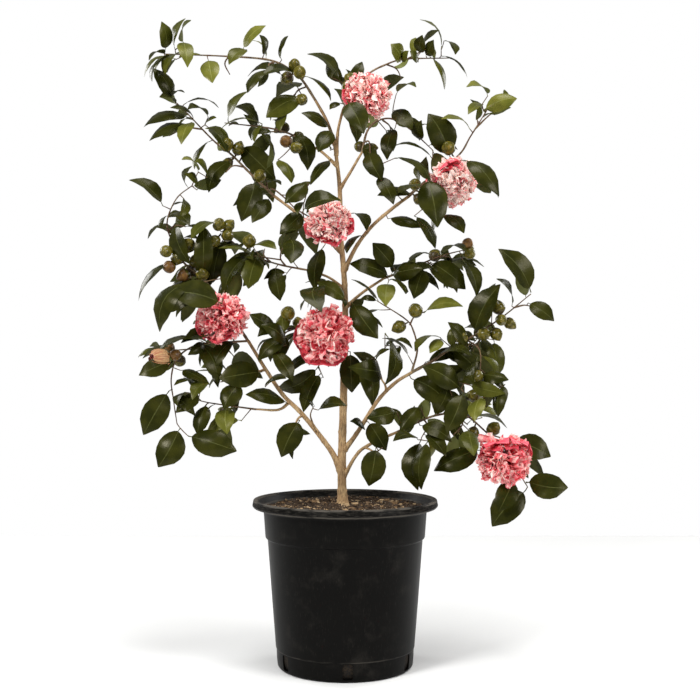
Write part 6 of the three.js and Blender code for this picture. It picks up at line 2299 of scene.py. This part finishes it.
@dataclass
class Soil:
    """The potting bark: a bed with an uneven top, and loose chips on it."""

    top: float = 283.7
    low_edge: float = 4.0
    side: tuple[tuple[float, float], ...] = ((115, 4.3), (118.7, 18), (128.2, 133), (135, 226))
    edge_radius: float = 142.2
    rings: int = 46
    sides: int = 160
    chips: int = 5200
    flecks: int = 560
    chip_shares: tuple[float, ...] = (0.77, 0.15, 0.08)
    chip_edge: float = 6
    trunk_foot: tuple[float, float] = (-5, 13)
    trunk_clear: float = 15
    seed: int = 12
    bed_finishes: tuple[PlainFinish, ...] = (
        PlainFinish("soil_bed", (0.03, 0.018, 0.009), (0.07, 0.042, 0.022), 0.95, 260.0, 0.0015),
        # The bed's sides and foot, seen only through the pot's slots, get a near-black colour.
        PlainFinish("near_black_soil_sides", (0.004, 0.003, 0.002), (0.02, 0.013, 0.007), 0.9, 300.0, 0.0015))
    chip_finishes: tuple[PlainFinish, ...] = (
        PlainFinish("chip_dark", (0.022, 0.013, 0.007), (0.065, 0.039, 0.02), 0.9, 300.0),
        PlainFinish("chip_brown", (0.13, 0.075, 0.035), (0.22, 0.135, 0.065), 0.88, 300.0),
        PlainFinish("chip_tan", (0.31, 0.2, 0.1), (0.45, 0.32, 0.18), 0.85, 300.0),
        PlainFinish("chip_pale", (0.58, 0.49, 0.36), (0.75, 0.66, 0.52), 0.8, 300.0))

    def make_bed(self) -> None:
        """Builds the bed, which replaces the CAD soil; its sides and foot, which show only in the pot's
        slots, are near-black.

        Its top falls a little towards the edge and rises and falls by a sum of slow waves.
        """
        radius = np.linspace(self.edge_radius, 3, self.rings)
        profile = np.vstack((self.side, np.stack((radius, self.surface_height(radius)), -1)))
        points, quads = lathe(profile, self.sides, self.top)
        upper = np.arange(1 + len(self.side) * self.sides, len(points) - 1)
        x, y = points[upper, 0], points[upper, 1]
        points[upper, 2] += self.bumps(x, y) * np.clip((self.edge_radius - np.hypot(x, y)) / 4, 0, 1)
        sheaf = Sheaf()
        # Faces of the bed's sides and foot take the near-black finish.
        sheaf.add(points, quads, (ring_of_faces(len(profile), self.sides) < len(self.side) - 1).astype(int))
        bed = sheaf.piece("soil_bed", build(*self.bed_finishes), "soil", sharp=80)
        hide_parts("soil")

    def surface_height(self, radius: Array) -> Array:
        """Returns the bed's mean height at a distance from the axis."""
        return self.top - 1 - self.low_edge * np.clip((radius - 90) / 52, 0, 1) ** 2

    @staticmethod
    def bumps(x: Array, y: Array) -> Array:
        """The bed's unevenness: slow waves in three directions and smaller ones between.

        Args:
            x: Places across.
            y: Places back.

        Returns:
            The height that is added there.
        """
        slow = np.sin(0.07 * x + 1) * np.sin(0.06 * y) + np.sin(0.045 * (x + y) + 2)
        quick = (np.sin(0.31 * x + 0.12 * y) * np.sin(0.27 * y - 0.1 * x)
                 + np.sin(0.62 * x) * np.sin(0.55 * y))
        return 0.9 * slow + 0.6 * quick

    def make_chips(self) -> None:
        """Builds the loose chips, each a box whose corners are moved at random, laid nearly flat."""
        rng = np.random.default_rng(self.seed)
        count, palest = self.chips + self.flecks, len(self.chip_finishes) - 1
        pale = np.arange(count) >= self.chips
        spread = np.sqrt(rng.uniform(0, 1, count)) * (self.edge_radius - self.chip_edge)
        turn = rng.uniform(0, 2 * math.pi, count)
        place = np.stack((spread * np.cos(turn), spread * np.sin(turn)))
        off = place - np.array(self.trunk_foot)[:, None]
        gap = np.hypot(*off)
        x, y = place + off * (np.maximum(0, self.trunk_clear - gap) / np.maximum(gap, 1))
        long_way = np.where(pale, rng.uniform(1.0, 2.2, count), rng.gamma(3.0, 0.8, count) + 1.2)
        wide = long_way * rng.uniform(0.4, 0.8, count)
        thick = np.clip(long_way * rng.uniform(0.2, 0.5, count), 0.7, 2.6)
        corner = np.array([(a, b, c) for a in (-1, 1) for b in (-1, 1) for c in (-1, 1)], float)
        size = np.stack((long_way, wide, thick), -1)[:, None]
        shape = corner[None] * size * rng.uniform(0.55, 1.05, (count, 8, 3))
        heading, tilt = rng.uniform(0, 2 * math.pi, count), rng.normal(0, 0.32, count)
        for axis, angle in enumerate((rng.normal(0, 0.3, count), tilt, heading)):
            shape = turned(shape, axis, angle)
        height = self.surface_height(np.hypot(x, y)) + self.bumps(x, y) + rng.uniform(-0.4, 1.3, count)
        shape += np.stack((x, y, height), -1)[:, None]
        quads = np.array(((0, 1, 3, 2), (4, 6, 7, 5), (0, 4, 5, 1), (2, 3, 7, 6), (0, 2, 6, 4),
                          (1, 5, 7, 3)))
        stuff = np.where(pale, palest, rng.choice(palest, count, p=self.chip_shares))
        sheaf = Sheaf()
        sheaf.add(shape, quads, stuff[:, None])
        sheaf.piece("soil_chips", build(*self.chip_finishes), "soil", sharp=20)


def turned(points: Array, axis: int, angle: Array) -> Array:
    """Points turned about an axis, each shape by its own angle.

    Args:
        points: The points, as shapes by points.
        axis: 0, 1 or 2 for X, Y or Z.
        angle: The angle of each shape.

    Returns:
        The turned points.
    """
    one, two = (axis + 1) % 3, (axis + 2) % 3
    cos, sin = np.cos(angle)[:, None], np.sin(angle)[:, None]
    out = points.copy()
    out[..., one] = points[..., one] * cos - points[..., two] * sin
    out[..., two] = points[..., one] * sin + points[..., two] * cos
    return out


@dataclass
class Studio:
    """The photograph's camera, a pale floor and soft light."""

    focal_pixels: float = 1100
    image_pixels: float = 700
    sensor: float = 36
    floor_side: float = 3.0
    room_light: float = 0.3
    room_seen: float = 1.0
    target: Point = (0.0, 0.0, 0.7)
    lamps: tuple[tuple[str, Point, float, float], ...] = (
        ("key", (-1.7, -1.9, 2.1), 0.7, 62), ("fill", (2.0, -1.5, 1.3), 0.9, 32),
        ("top", (0.2, -0.5, 3.1), 1.2, 48), ("left_rim", (-1.9, 1.4, 1.5), 1.0, 21),
        ("right_rim", (1.9, 1.4, 1.5), 1.0, 21))

    def make_camera(self) -> None:
        """Stands the camera level, with a slight shift that puts its centre where the photograph's is."""
        data = bpy.data.cameras.new("camera")
        data.sensor_width = self.sensor
        data.lens = self.focal_pixels * self.sensor / self.image_pixels
        data.shift_x = 0.5 - PICTURE.centre[0] / self.image_pixels
        data.shift_y = PICTURE.centre[1] / self.image_pixels - 0.5
        camera = placed_in_scene("camera", data)
        camera.location = (0, -PICTURE.distance * MM, PICTURE.height * MM)
        camera.rotation_euler = (math.pi / 2, 0, 0)
        bpy.context.scene.camera = camera

    def make_light(self, name: str, place: Point, size: float, power: float) -> None:
        """Stands a square soft light that faces the plant's middle.

        Args:
            name: Its name.
            place: Where it stands, in metres.
            size: Its side in metres.
            power: Its power in watts.
        """
        data = bpy.data.lights.new(name, "AREA")
        data.size, data.energy = size, power
        light = placed_in_scene(name, data)
        light.visible_camera = False
        light.location = place
        x, y, z = np.array(self.target) - np.array(place)
        light.rotation_euler = (math.atan2(math.hypot(x, y), -z), 0, math.atan2(y, x) - math.pi / 2)

    def make(self) -> None:
        """Makes the floor, the room's even light and the lamps."""
        half = self.floor_side / 2
        corners = [(-half, -half, 0), (half, -half, 0), (half, half, 0), (-half, half, 0)]
        mesh = bpy.data.meshes.new("floor")
        mesh.from_pydata(corners, [], [(0, 1, 2, 3)])
        mesh.materials.append(PaperFinish().make())
        floor = placed_in_scene("floor", mesh)
        world = bpy.data.worlds.new("studio")
        world.use_nodes = True
        tree = world.node_tree
        background = tree.nodes["Background"]
        background.inputs["Color"].default_value = (1.0, 1.0, 1.0, 1.0)
        level = tree.nodes.new("ShaderNodeMapRange")
        tree.links.new(tree.nodes.new("ShaderNodeLightPath").outputs["Is Camera Ray"], level.inputs["Value"])
        level.inputs["To Min"].default_value = self.room_light
        level.inputs["To Max"].default_value = self.room_seen
        tree.links.new(level.outputs["Result"], background.inputs["Strength"])
        bpy.context.scene.world = world
        bpy.context.scene.view_settings.view_transform = "Standard"
        for lamp in self.lamps:
            self.make_light(*lamp)

BLOOM_LOOKS = {
    "top_right_leaves": (0.3, (200.0,)),
    "upper_right_leaves": (0.0, (128.0,)),
    "upper_left_leaves": (0.2, (-20.0, -70.0, 215.0)),
    "left_leaves": (0.8, (222.0, 262.0, 172.0)),
    "centre_left_leaves": (0.85, (190.0, 238.0, 290.0)),
    "lowest_right_leaves": (0.8, (42.0, 88.0, 140.0)),
}
D, G, Y = Age.DARK, Age.GREEN, Age.YOUNG
NOWHERE = (0.0, 0.0, -1000.0)

# What the photograph shows, read off it. Places are its pixels, across and down, as they lie on the
# plant's middle plane. Sizes are millimetres. A leaf is its root, its tip, its apparent width and its age.
SHOWN_LEAVES = (
    (165, 50, 162, 22, -16, G), (175, 50, 184, 18, 14, G), (184, 44, 191, 20, 12, G),
    (183, 42, 188, 64, 26, Y), (181, 53, 164, 72, 20, G), (167, 55, 148, 58, 12, D),
    (165, 60, 149, 79, 10, D), (173, 100, 154, 68, 28, D), (176, 104, 160, 96, 14, D),
    (172, 97, 184, 91, 9, D), (208, 60, 212, 81, 34, Y), (243, 50, 264, 24, 25, Y),
    (247, 50, 229, 62, 27, G), (264, 55, 261, 35, 9, D), (282, 60, 288, 36, 9, D), (266, 70, 246, 89, 22, D),
    (184, 104, 219, 105, 9, D), (208, 117, 188, 108, 18, D), (189, 118, 143, 123, 32, D),
    (191, 125, 149, 139, 30, D), (192, 122, 180, 142, 26, Y), (228, 120, 247, 90, 22, G),
    (260, 126, 234, 106, 22, D), (205, 125, 216, 117, 14, G), (262, 124, 219, 126, 14, G),
    (262, 125, 254, 141, 14, G), (209, 128, 228, 150, 24, D), (240, 146, 275, 178, 42, D),
    (232, 160, 207, 190, 32, D), (207, 178, 196, 161, 14, G), (198, 172, 183, 158, 14, Y),
    (211, 141, 193, 168, 10, G), (197, 190, 187, 173, 12, G), (256, 181, 241, 220, 50, D),
    (270, 198, 252, 222, 30, D), (163, 206, 131, 178, 25, D), (184, 199, 182, 216, 9, G),
    (170, 214, 190, 225, 22, D), (168, 216, 160, 227, 10, D), (214, 222, 191, 238, 24, G),
    (278, 160, 293, 180, 20, G), (264, 184, 281, 184, 9, D), (222, 242, 212, 282, 36, D),
    (250, 255, 221, 291, 30, D), (258, 254, 248, 288, 38, G), (275, 269, 280, 300, 30, D),
    (290, 238, 291, 262, 34, D), (253, 247, 276, 248, 20, G), (178, 262, 135, 296, 9, D),
    (170, 362, 139, 374, 32, D), (205, 343, 160, 347, 14, D), (232, 338, 181, 342, 24, D),
    (198, 342, 219, 380, 30, D), (234, 340, 212, 368, 28, D), (262, 372, 219, 378, 46, D),
    (180, 370, 210, 384, 20, D), (200, 386, 174, 384, 8, D), (208, 383, 192, 397, 24, G),
    (240, 383, 224, 408, 38, D), (169, 391, 143, 435, 44, D), (200, 393, 176, 411, 28, D),
    (207, 404, 197, 434, 28, D), (226, 408, 227, 432, 34, Y), (288, 404, 246, 394, 25, D),
    (275, 334, 250, 314, 28, D), (286, 345, 263, 324, 26, D), (288, 310, 283, 331, 24, G),
    (288, 337, 257, 358, 28, D), (272, 350, 293, 381, 28, D), (321, 373, 303, 412, 30, D),
    (265, 387, 285, 377, 14, D), (320, 356, 287, 372, 22, D), (303, 97, 266, 117, 38, G),
    (285, 112, 279, 130, 18, G), (305, 76, 331, 101, 14, G), (340, 82, 309, 52, 26, D),
    (330, 128, 302, 112, 26, D), (296, 132, 309, 168, 32, D), (340, 103, 330, 108, 14, D),
    (332, 130, 318, 151, 32, D), (347, 114, 357, 143, 18, D), (396, 94, 416, 86, 12, G),
    (400, 62, 392, 44, 32, Y), (402, 62, 408, 51, 16, G), (420, 53, 422, 35, 20, D),
    (426, 56, 433, 40, 22, D), (418, 62, 411, 51, 18, G), (393, 110, 412, 128, 30, D),
    (395, 128, 386, 158, 26, D), (441, 50, 423, 17, 9, G), (444, 41, 456, 54, 16, D),
    (430, 57, 447, 88, 11, G), (441, 56, 468, 77, 9, D), (488, 96, 468, 84, 20, Y),
    (483, 110, 517, 98, 32, Y), (482, 104, 468, 113, 19, Y), (477, 120, 478, 106, 13, G),
    (484, 117, 495, 115, 8, D), (470, 129, 443, 116, 17, Y), (450, 157, 430, 113, 50, D),
    (419, 140, 421, 121, 20, D), (433, 159, 394, 144, 14, D), (331, 160, 310, 184, 22, D),
    (308, 182, 285, 202, 30, D), (333, 198, 306, 212, 20, D), (304, 202, 297, 213, 14, G),
    (303, 213, 280, 232, 34, D), (324, 246, 313, 290, 26, D), (346, 300, 319, 281, 28, G),
    (354, 213, 367, 229, 20, D), (362, 236, 345, 250, 14, D), (390, 277, 351, 262, 34, D),
    (394, 268, 373, 243, 40, D), (389, 280, 407, 292, 10, D), (388, 283, 386, 305, 32, Y),
    (368, 152, 382, 180, 34, D), (377, 176, 394, 203, 28, D), (395, 158, 432, 178, 18, D),
    (388, 219, 422, 227, 24, D), (414, 216, 438, 246, 22, D), (443, 214, 464, 233, 27, D),
    (431, 255, 410, 262, 14, D), (424, 268, 414, 297, 36, D), (430, 262, 466, 288, 42, D),
    (463, 260, 478, 296, 26, D), (474, 335, 499, 284, 40, D), (512, 306, 497, 278, 10, D),
    (531, 292, 502, 248, 44, D), (528, 303, 554, 320, 30, D), (424, 313, 462, 303, 21, Y),
    (468, 346, 449, 322, 26, D), (440, 337, 414, 349, 11, G), (441, 339, 430, 352, 20, Y),
    (452, 348, 482, 373, 34, D), (494, 340, 496, 378, 34, G), (480, 376, 508, 378, 26, D),
    (505, 384, 497, 416, 18, D), (461, 389, 424, 366, 40, D), (411, 378, 449, 404, 44, D),
    (464, 392, 446, 432, 36, D), (482, 398, 474, 420, 22, Y), (420, 425, 452, 440, 28, D),
    (318, 410, 345, 404, 22, D), (350, 352, 352, 392, 38, D), (352, 303, 378, 337, 40, D),
    (362, 362, 373, 405, 32, D), (385, 333, 388, 384, 14, D), (385, 348, 412, 345, 9, D),
    (397, 412, 369, 417, 32, D), (420, 406, 400, 430, 28, D), (300, 420, 281, 456, 44, D),
    (180, 428, 158, 467, 46, D), (188, 436, 236, 450, 44, D), (376, 447, 369, 486, 48, D),
    (368, 422, 386, 450, 40, D), (418, 440, 394, 438, 14, D), (421, 440, 416, 490, 32, D),
    (428, 441, 418, 488, 22, D), (424, 434, 446, 456, 24, D), (481, 450, 434, 468, 38, D),
    (468, 430, 474, 455, 28, G), (512, 440, 551, 456, 42, D), (526, 482, 568, 487, 46, D),
    (514, 479, 499, 511, 36, D), (526, 490, 492, 526, 50, D), (400, 346, 395, 362, 12, G),
    (186, 392, 177, 405, 14, D), (330, 150, 322, 140, 12, D), (398, 196, 420, 186, 12, G),
    (365, 430, 352, 420, 14, D),
)
FRONT_LEAVES = (
    ("centre_left_leaves", (-46, -30, 672), (-40, -112, 626), 40, 0.6, 0.1),
    ("left_leaves", (-214, -50, 640), (-304, -64, 660), 50, 0.5, 0.12),
    ("left_leaves", (-262, -30, 676), (-324, -48, 592), 44, 1.6, 0.3),
    ("upper_left_leaves", (-74, -58, 798), (-8, -70, 820), 40, 0.9, 0.2),
    ("upper_right_leaves", (208, -32, 892), (266, -66, 826), 38, 1.0, 0.16),
    ("upper_right_leaves", (146, -24, 862), (160, -66, 776), 50, 0.5, 0.08),
    ("top_right_leaves", (4, -38, 994), (32, -66, 936), 42, 0.5, 0.08),
)
WINDOWS = (
    (200, 88, 23), (217, 90, 21), (262, 90, 23), (262, 105, 18), (418, 90, 36), (445, 88, 25),
    (185, 152, 23), (165, 150, 21), (160, 170, 23), (180, 170, 21), (205, 205, 29), (228, 208, 21),
    (255, 228, 27), (298, 268, 20), (290, 290, 18), (150, 292, 25), (262, 300, 32), (158, 328, 23),
    (480, 150, 25), (500, 135, 25), (480, 215, 25), (440, 290, 25), (418, 330, 29), (340, 388, 18),
    (216, 430, 25), (300, 452, 25), (400, 350, 18), (240, 348, 18), (455, 308, 21), (520, 290, 18),
    (455, 48, 18), (210, 48, 20), (230, 37, 26), (331, 48, 22), (470, 60, 26), (525, 86, 44), (233, 84, 20),
    (305, 80, 14), (284, 152, 22), (354, 152, 22), (399, 118, 18), (151, 201, 14), (154, 224, 20),
    (480, 240, 28), (538, 278, 28), (515, 313, 26), (505, 345, 20), (388, 358, 18), (324, 380, 20),
    (516, 424, 30), (541, 508, 26), (191, 458, 16), (208, 418, 18), (493, 82, 18), (335, 470, 40),
    (300, 470, 30), (413, 158, 24), (297, 411, 18), (391, 169, 18), (482, 203, 18), (180, 322, 20),
    (401, 166, 14), (366, 345, 12), (388, 350, 14), (502, 405, 14),
)
YOUNG_PLACES = (
    (212, 67), (188, 50), (396, 47), (422, 39), (229, 419), (388, 292), (479, 411), (290, 103), (254, 37),
    (177, 19),
)
SHOWN_BUDS = (
    (290, 75, 8), (299, 70, 8), (301, 94, 8), (294, 122, 8), (285, 138, 8), (295, 145, 8), (236, 142, 8),
    (224, 140, 9), (259, 173, 8), (212, 223, 8), (226, 223, 8), (225, 233, 8), (213, 239, 8), (249, 241, 9),
    (189, 242, 9.5), (193, 257, 9), (166, 251, 8), (175, 257, 8), (168, 266, 8), (350, 73, 8), (342, 81, 8),
    (372, 137, 8), (377, 148, 8), (450, 145, 9), (416, 182, 8), (290, 300, 9.5), (416, 311, 9.5),
    (443, 250, 8), (472, 239, 8), (464, 253, 8), (475, 258, 8), (463, 333, 8), (502, 320, 8), (498, 333, 8),
    (487, 341, 9), (475, 376, 8), (477, 392, 8), (493, 429, 9), (166, 348, 8), (175, 368, 8),
)


def on_plane(rows: Sequence[Sequence[Any]], pairs: int) -> list[tuple[Any, ...]]:
    """Rows read off the photograph, with their pixels turned into places on the plant's middle plane.

    A place is the pixel's distance from the picture's centre times the size of a pixel there, to the
    nearest millimetre.

    Args:
        rows: The rows, each starting with pixels across and down.
        pairs: How many such pairs a row starts with.

    Returns:
        The rows, starting with places across and up.
    """
    out = []
    for row in rows:
        places = []
        for x, y in zip(row[:2 * pairs:2], row[1:2 * pairs:2]):
            places.append(round((x - PICTURE.centre[0]) * PICTURE.pixel))
            places.append(round(PICTURE.height - (y - PICTURE.centre[1]) * PICTURE.pixel))
        out.append((*places, *row[2 * pairs:]))
    return out


def nearest_on(lines: Sequence[Array], place: Any, weight: Any = 1) -> tuple[float, int, Array]:
    """The nearest of the points of several lines to a place.

    Args:
        lines: The lines.
        place: The place.
        weight: How much a distance along each axis counts.

    Returns:
        The distance, the line's number and the point.
    """
    gaps = [length_of((line - place) * weight) for line in lines]
    gap, which = min((apart.min(), k) for k, apart in enumerate(gaps))
    return gap, which, lines[which][int(np.argmin(gaps[which]))]


@dataclass
class Shrub:
    """The whole plant: limbs and leafy masses laid out by the rule, then carried on to finer growth."""

    def __post_init__(self) -> None:
        """Lays everything out in the order of the part's source, and then the finer growth."""
        self.limbs = lay_out_limbs()
        around = Surroundings(self.limbs)
        self.masses = [Foliage(plan, i, self.limbs, around) for i, plan in enumerate(MASSES)]
        for step in (Foliage.add_stalks, Foliage.add_reach, Foliage.dress, Foliage.add_buds):
            for mass in self.masses:
                step(mass)
        self.report("grown by the source's rule")
        self.prune([self.shown_leaf(row, 0, SHOWN.depth) for row in on_plane(SHOWN_LEAVES, 2)])
        around = Surroundings(self.limbs)
        for mass in self.masses:
            mass.join(around)
        self.report("that stay")
        self.add_front_leaves()
        self.add_shown_leaves()
        around.cover = Cover([leaf for mass in self.masses for leaf in mass.leaves])
        self.report("with those shown")
        self.add_shown_buds()
        for mass in self.masses:
            mass.dress(FINER)
        for mass in self.masses:
            self.deal_ages(mass)
        self.report("with finer growth")

    @property
    def buds(self) -> list[Bud]:
        """Returns all the buds."""
        return [bud for mass in self.masses for bud in mass.buds]

    def report(self, stage: str) -> None:
        """Reports how much has grown."""
        leaves = sum(len(mass.leaves) for mass in self.masses)
        LOG.info("leaves %s: %d, buds: %d", stage, leaves, len(self.buds))

    @staticmethod
    def in_window(leaf: Leaf) -> bool:
        """Whether a leaf would close one of the crown's windows, seen from the front.

        Args:
            leaf: The leaf.

        Returns:
            True if it would.
        """
        side = leaf.side * leaf.width * SHOWN.window_side
        points = np.array([mix(leaf.root, leaf.tip, share) for share in SHOWN.window_shares]
                          + [leaf.middle + side, leaf.middle - side])
        windows = np.array(on_plane(WINDOWS, 1), float)
        return bool((length_of(seen(points)[:, None] - windows[:, :2]) < windows[:, 2]).any())

    def prune(self, wanted: list[Leaf]) -> None:
        """Takes off the rule's leaves that close a window or stand where the photograph shows another leaf.

        A leaf goes if its tip or its middle is seen near that of a wanted leaf, or if much of it lies in
        front of them. Twigs that then carry nothing go too.

        Args:
            wanted: The leaves that the photograph shows.
        """
        cover = Cover(wanted)
        tips = seen(np.array([leaf.tip for leaf in wanted]))
        middles = seen(np.array([leaf.middle for leaf in wanted]))
        for mass in self.masses:
            mass.leaves = [leaf for leaf in mass.leaves if not (
                (length_of(tips - seen(leaf.tip)) < SHOWN.same_tip).any()
                or (length_of(middles - seen(leaf.middle)) < SHOWN.same_middle).any()
                or self.in_window(leaf) or cover.over(leaf) > SHOWN.over)]
            roots = np.array([leaf.root for leaf in mass.leaves] + [NOWHERE])
            stalks = len(mass.flowers)
            mass.twigs = mass.twigs[:stalks] + [
                twig for twig in mass.twigs[stalks:] if length_of(roots - twig[1]).min() < SHOWN.end_reach]

    @staticmethod
    def shown_leaf(row: Sequence[Any], shift: float, depth: float) -> Leaf:
        """A leaf that looks from the front as the photograph shows it.

        One that looks short is tilted forwards until it has a usual length, and one that looks narrow is
        rolled about its rib, its upper side still up, until it has a usual width.

        Args:
            row: Its root and tip across and up, its apparent width, and its age. A width below 0 is that of
                one that bulges downwards.
            shift: How far it is moved forwards (below 0) or back.
            depth: Where its root lies before that.

        Returns:
            The leaf.
        """
        root_x, root_z, tip_x, tip_z, width, age = row
        looks = math.hypot(tip_x - root_x, tip_z - root_z)
        length = max(looks * SHOWN.longer, min(SHOWN.longest_tilted, looks * SHOWN.most_tilt))
        root = placed(root_x, root_z, depth + shift * SHOWN.root_shift)
        tip = placed(tip_x, tip_z, depth + shift - math.sqrt(length ** 2 - looks ** 2))
        chord = unit(tip - root)
        facing = perpendicular(chord, UP * SHOWN.face_up - BACK)
        usual = length * SHOWN.width_share
        roll = math.acos(min(1.0, max(SHOWN.narrowest, abs(width) / usual))) * SHOWN.roll_share
        side = np.cross(chord, facing)
        side = side if (side[2] > 0) == (width > 0) else -side
        normal = unit(facing * math.cos(roll) + side * math.sin(roll))
        broad = min(max(abs(width), usual), length * SHOWN.broadest)
        return Leaf(root, tip, normal, broad, length * mix(*SHOWN.arch, roll / (math.pi / 2)), age, True)

    def add_shown_leaves(self) -> None:
        """Adds the leaves that the photograph shows, each on a twig from what is nearest to it.

        They are taken in order of their distance from the wood so far, so that a leaf can spring from the
        twig of another. Each is moved back or forth until it touches nothing.
        """
        lines = [(mass.owner, line) for mass in self.masses
                 for line in [*mass.samples, *(np.linspace(*twig, 5) for twig in mass.twigs)]]
        stems = np.array([mass.stem.mean(0) for mass in self.masses])
        lines += [(nearest_index(stems, point), point[None])
                  for limb in self.limbs.values() for point in limb.fine]
        points = np.vstack([line for _, line in lines])
        owners = np.repeat([owner for owner, _ in lines], [len(line) for _, line in lines])
        rows = on_plane(SHOWN_LEAVES, 2)
        while rows:
            flat, off = seen(points), SHOWN.depth_weight * np.abs(points[:, 1] - SHOWN.depth)
            gaps = np.array([length_of(flat - row[:2]) + off for row in rows])
            chosen, at = np.unravel_index(int(np.argmin(gaps)), gaps.shape)
            row, start, mass = rows.pop(chosen), points[at], self.masses[owners[at]]
            depth = start[1] - SHOWN.forward - SHOWN.forward_share * length_of(flat[at] - row[:2])
            tried = (self.shown_leaf(row, shift, depth) for shift in SHOWN.shifts)
            leaf = next((leaf for leaf in tried if mass.around.leaf_clear(mass.owner, leaf)),
                        self.shown_leaf(row, SHOWN.shifts[2], depth))
            mass.keep_leaf(leaf)
            gap = length_of(leaf.root - start)
            if gap > SHOWN.stalk:
                mass.keep_twig(start, leaf.root, True)
                line = np.linspace(start, leaf.root, max(2, round(gap / SHOWN.twig_step)) + 1)[1:]
                points = np.vstack((points, line))
                owners = np.append(owners, [mass.owner] * len(line))

    def add_front_leaves(self) -> None:
        """Adds the few leaves that hang in front of the blossoms, each on a short twig."""
        for name, root, tip, width, lean, arch in FRONT_LEAVES:
            mass = next(mass for mass in self.masses if mass.plan.name == name)
            root, tip = np.array(root, float), np.array(tip, float)
            normal = perpendicular(unit(tip - root), -BACK + UP * lean)
            mass.keep_leaf(Leaf(root, tip, normal, width, length_of(tip - root) * arch, shown=True))
            mass.fine_twigs.append((nearest_on(mass.samples, root)[2], root))

    def add_shown_buds(self) -> None:
        """Adds the buds that show from the front, where no bud is near and no leaf is in the way."""
        weight = (1, SHOWN.depth_weight, 1)
        for x, z, radius in on_plane(SHOWN_BUDS, 1):
            if any(math.hypot(bud.centre[0] - x, bud.centre[2] - z) < SHOWN.bud_clear for bud in self.buds):
                continue
            mass = min(self.masses, key=lambda mass: nearest_on(mass.samples, (x, 0, z), weight)[0])
            root = nearest_on(mass.samples, (x, 0, z), weight)[2]
            aside = np.array((x - root[0], 0.0, z - root[2]))
            place = root + aside * min(1.0, SHOWN.bud_reach / max(length_of(aside), 1e-6))
            disc = seen(place) + radius * np.array(((0, 0), (1, 0), (-1, 0), (0, 1), (0, -1)))
            front = mass.around.cover.front[Cover.index(disc)].min()
            clear = max(min(front - radius - 2 - root[1], SHOWN.bud_places[-1]), -SHOWN.bud_stalk)
            for forward in (*(clear + step for step in SHOWN.bud_steps), *SHOWN.bud_places):
                centre = place + BACK * forward
                back = centre - unit(centre - root) * radius * 0.5
                if mass.around.rod_fits(mass.owner, back, centre, radius):
                    mass.buds.append(Bud(root, centre, radius))
                    mass.around.add_line(mass.owner, (back, centre), (radius, radius))
                    break

    @staticmethod
    def deal_ages(mass: Foliage) -> None:
        """Deals each spray of leaves an age; those near the named places are young.

        Args:
            mass: The mass that carries them.
        """
        rng = np.random.default_rng(mass.plan.seed)
        for i, leaf in enumerate(mass.leaves):
            if i % SHOWN.spray == 0:
                spray = rng.choice(len(SHOWN.ages), p=SHOWN.ages)
            near = any(math.hypot(leaf.middle[0] - x, leaf.middle[2] - z) < SHOWN.young_reach
                       for x, z in on_plane(YOUNG_PLACES, 1))
            if not leaf.shown:
                leaf.age = Age.YOUNG if near else list(Age)[spray]

    def leaves_of(self, age: Age) -> list[Leaf]:
        """Returns the leaves of one age."""
        return [leaf for mass in self.masses for leaf in mass.leaves if leaf.age is age]


def main() -> None:
    """Builds the studio and then the plant piece by piece."""
    studio = Studio()
    studio.make_camera()
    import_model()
    studio.make()
    shrub = Shrub()
    Wood(shrub.limbs).make()
    Stems(shrub.masses).make()
    blades = [Blades(age, shrub.leaves_of(age)).make() for age in Age]
    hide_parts(*(mass.plan.name for mass in shrub.masses))
    Buds(shrub.buds).make()
    sheaf = Sheaf()
    for mass in shrub.masses:
        if mass.plan.bloom:
            Blossom(mass.plan.bloom, mass.plan.seed, *BLOOM_LOOKS[mass.plan.name]).add_to(sheaf)
        if mass.plan.bud:
            OpeningBud(mass.plan.bud).add_to(sheaf)
    sheaf.piece("blossoms", build(*PETAL_FINISHES), "foliage", sharp=70)
    Pot().make()
    soil = Soil()
    soil.make_bed()
    soil.make_chips()


if __name__ == "__main__":
    logging.basicConfig(level=logging.INFO, format="%(message)s")
    main()
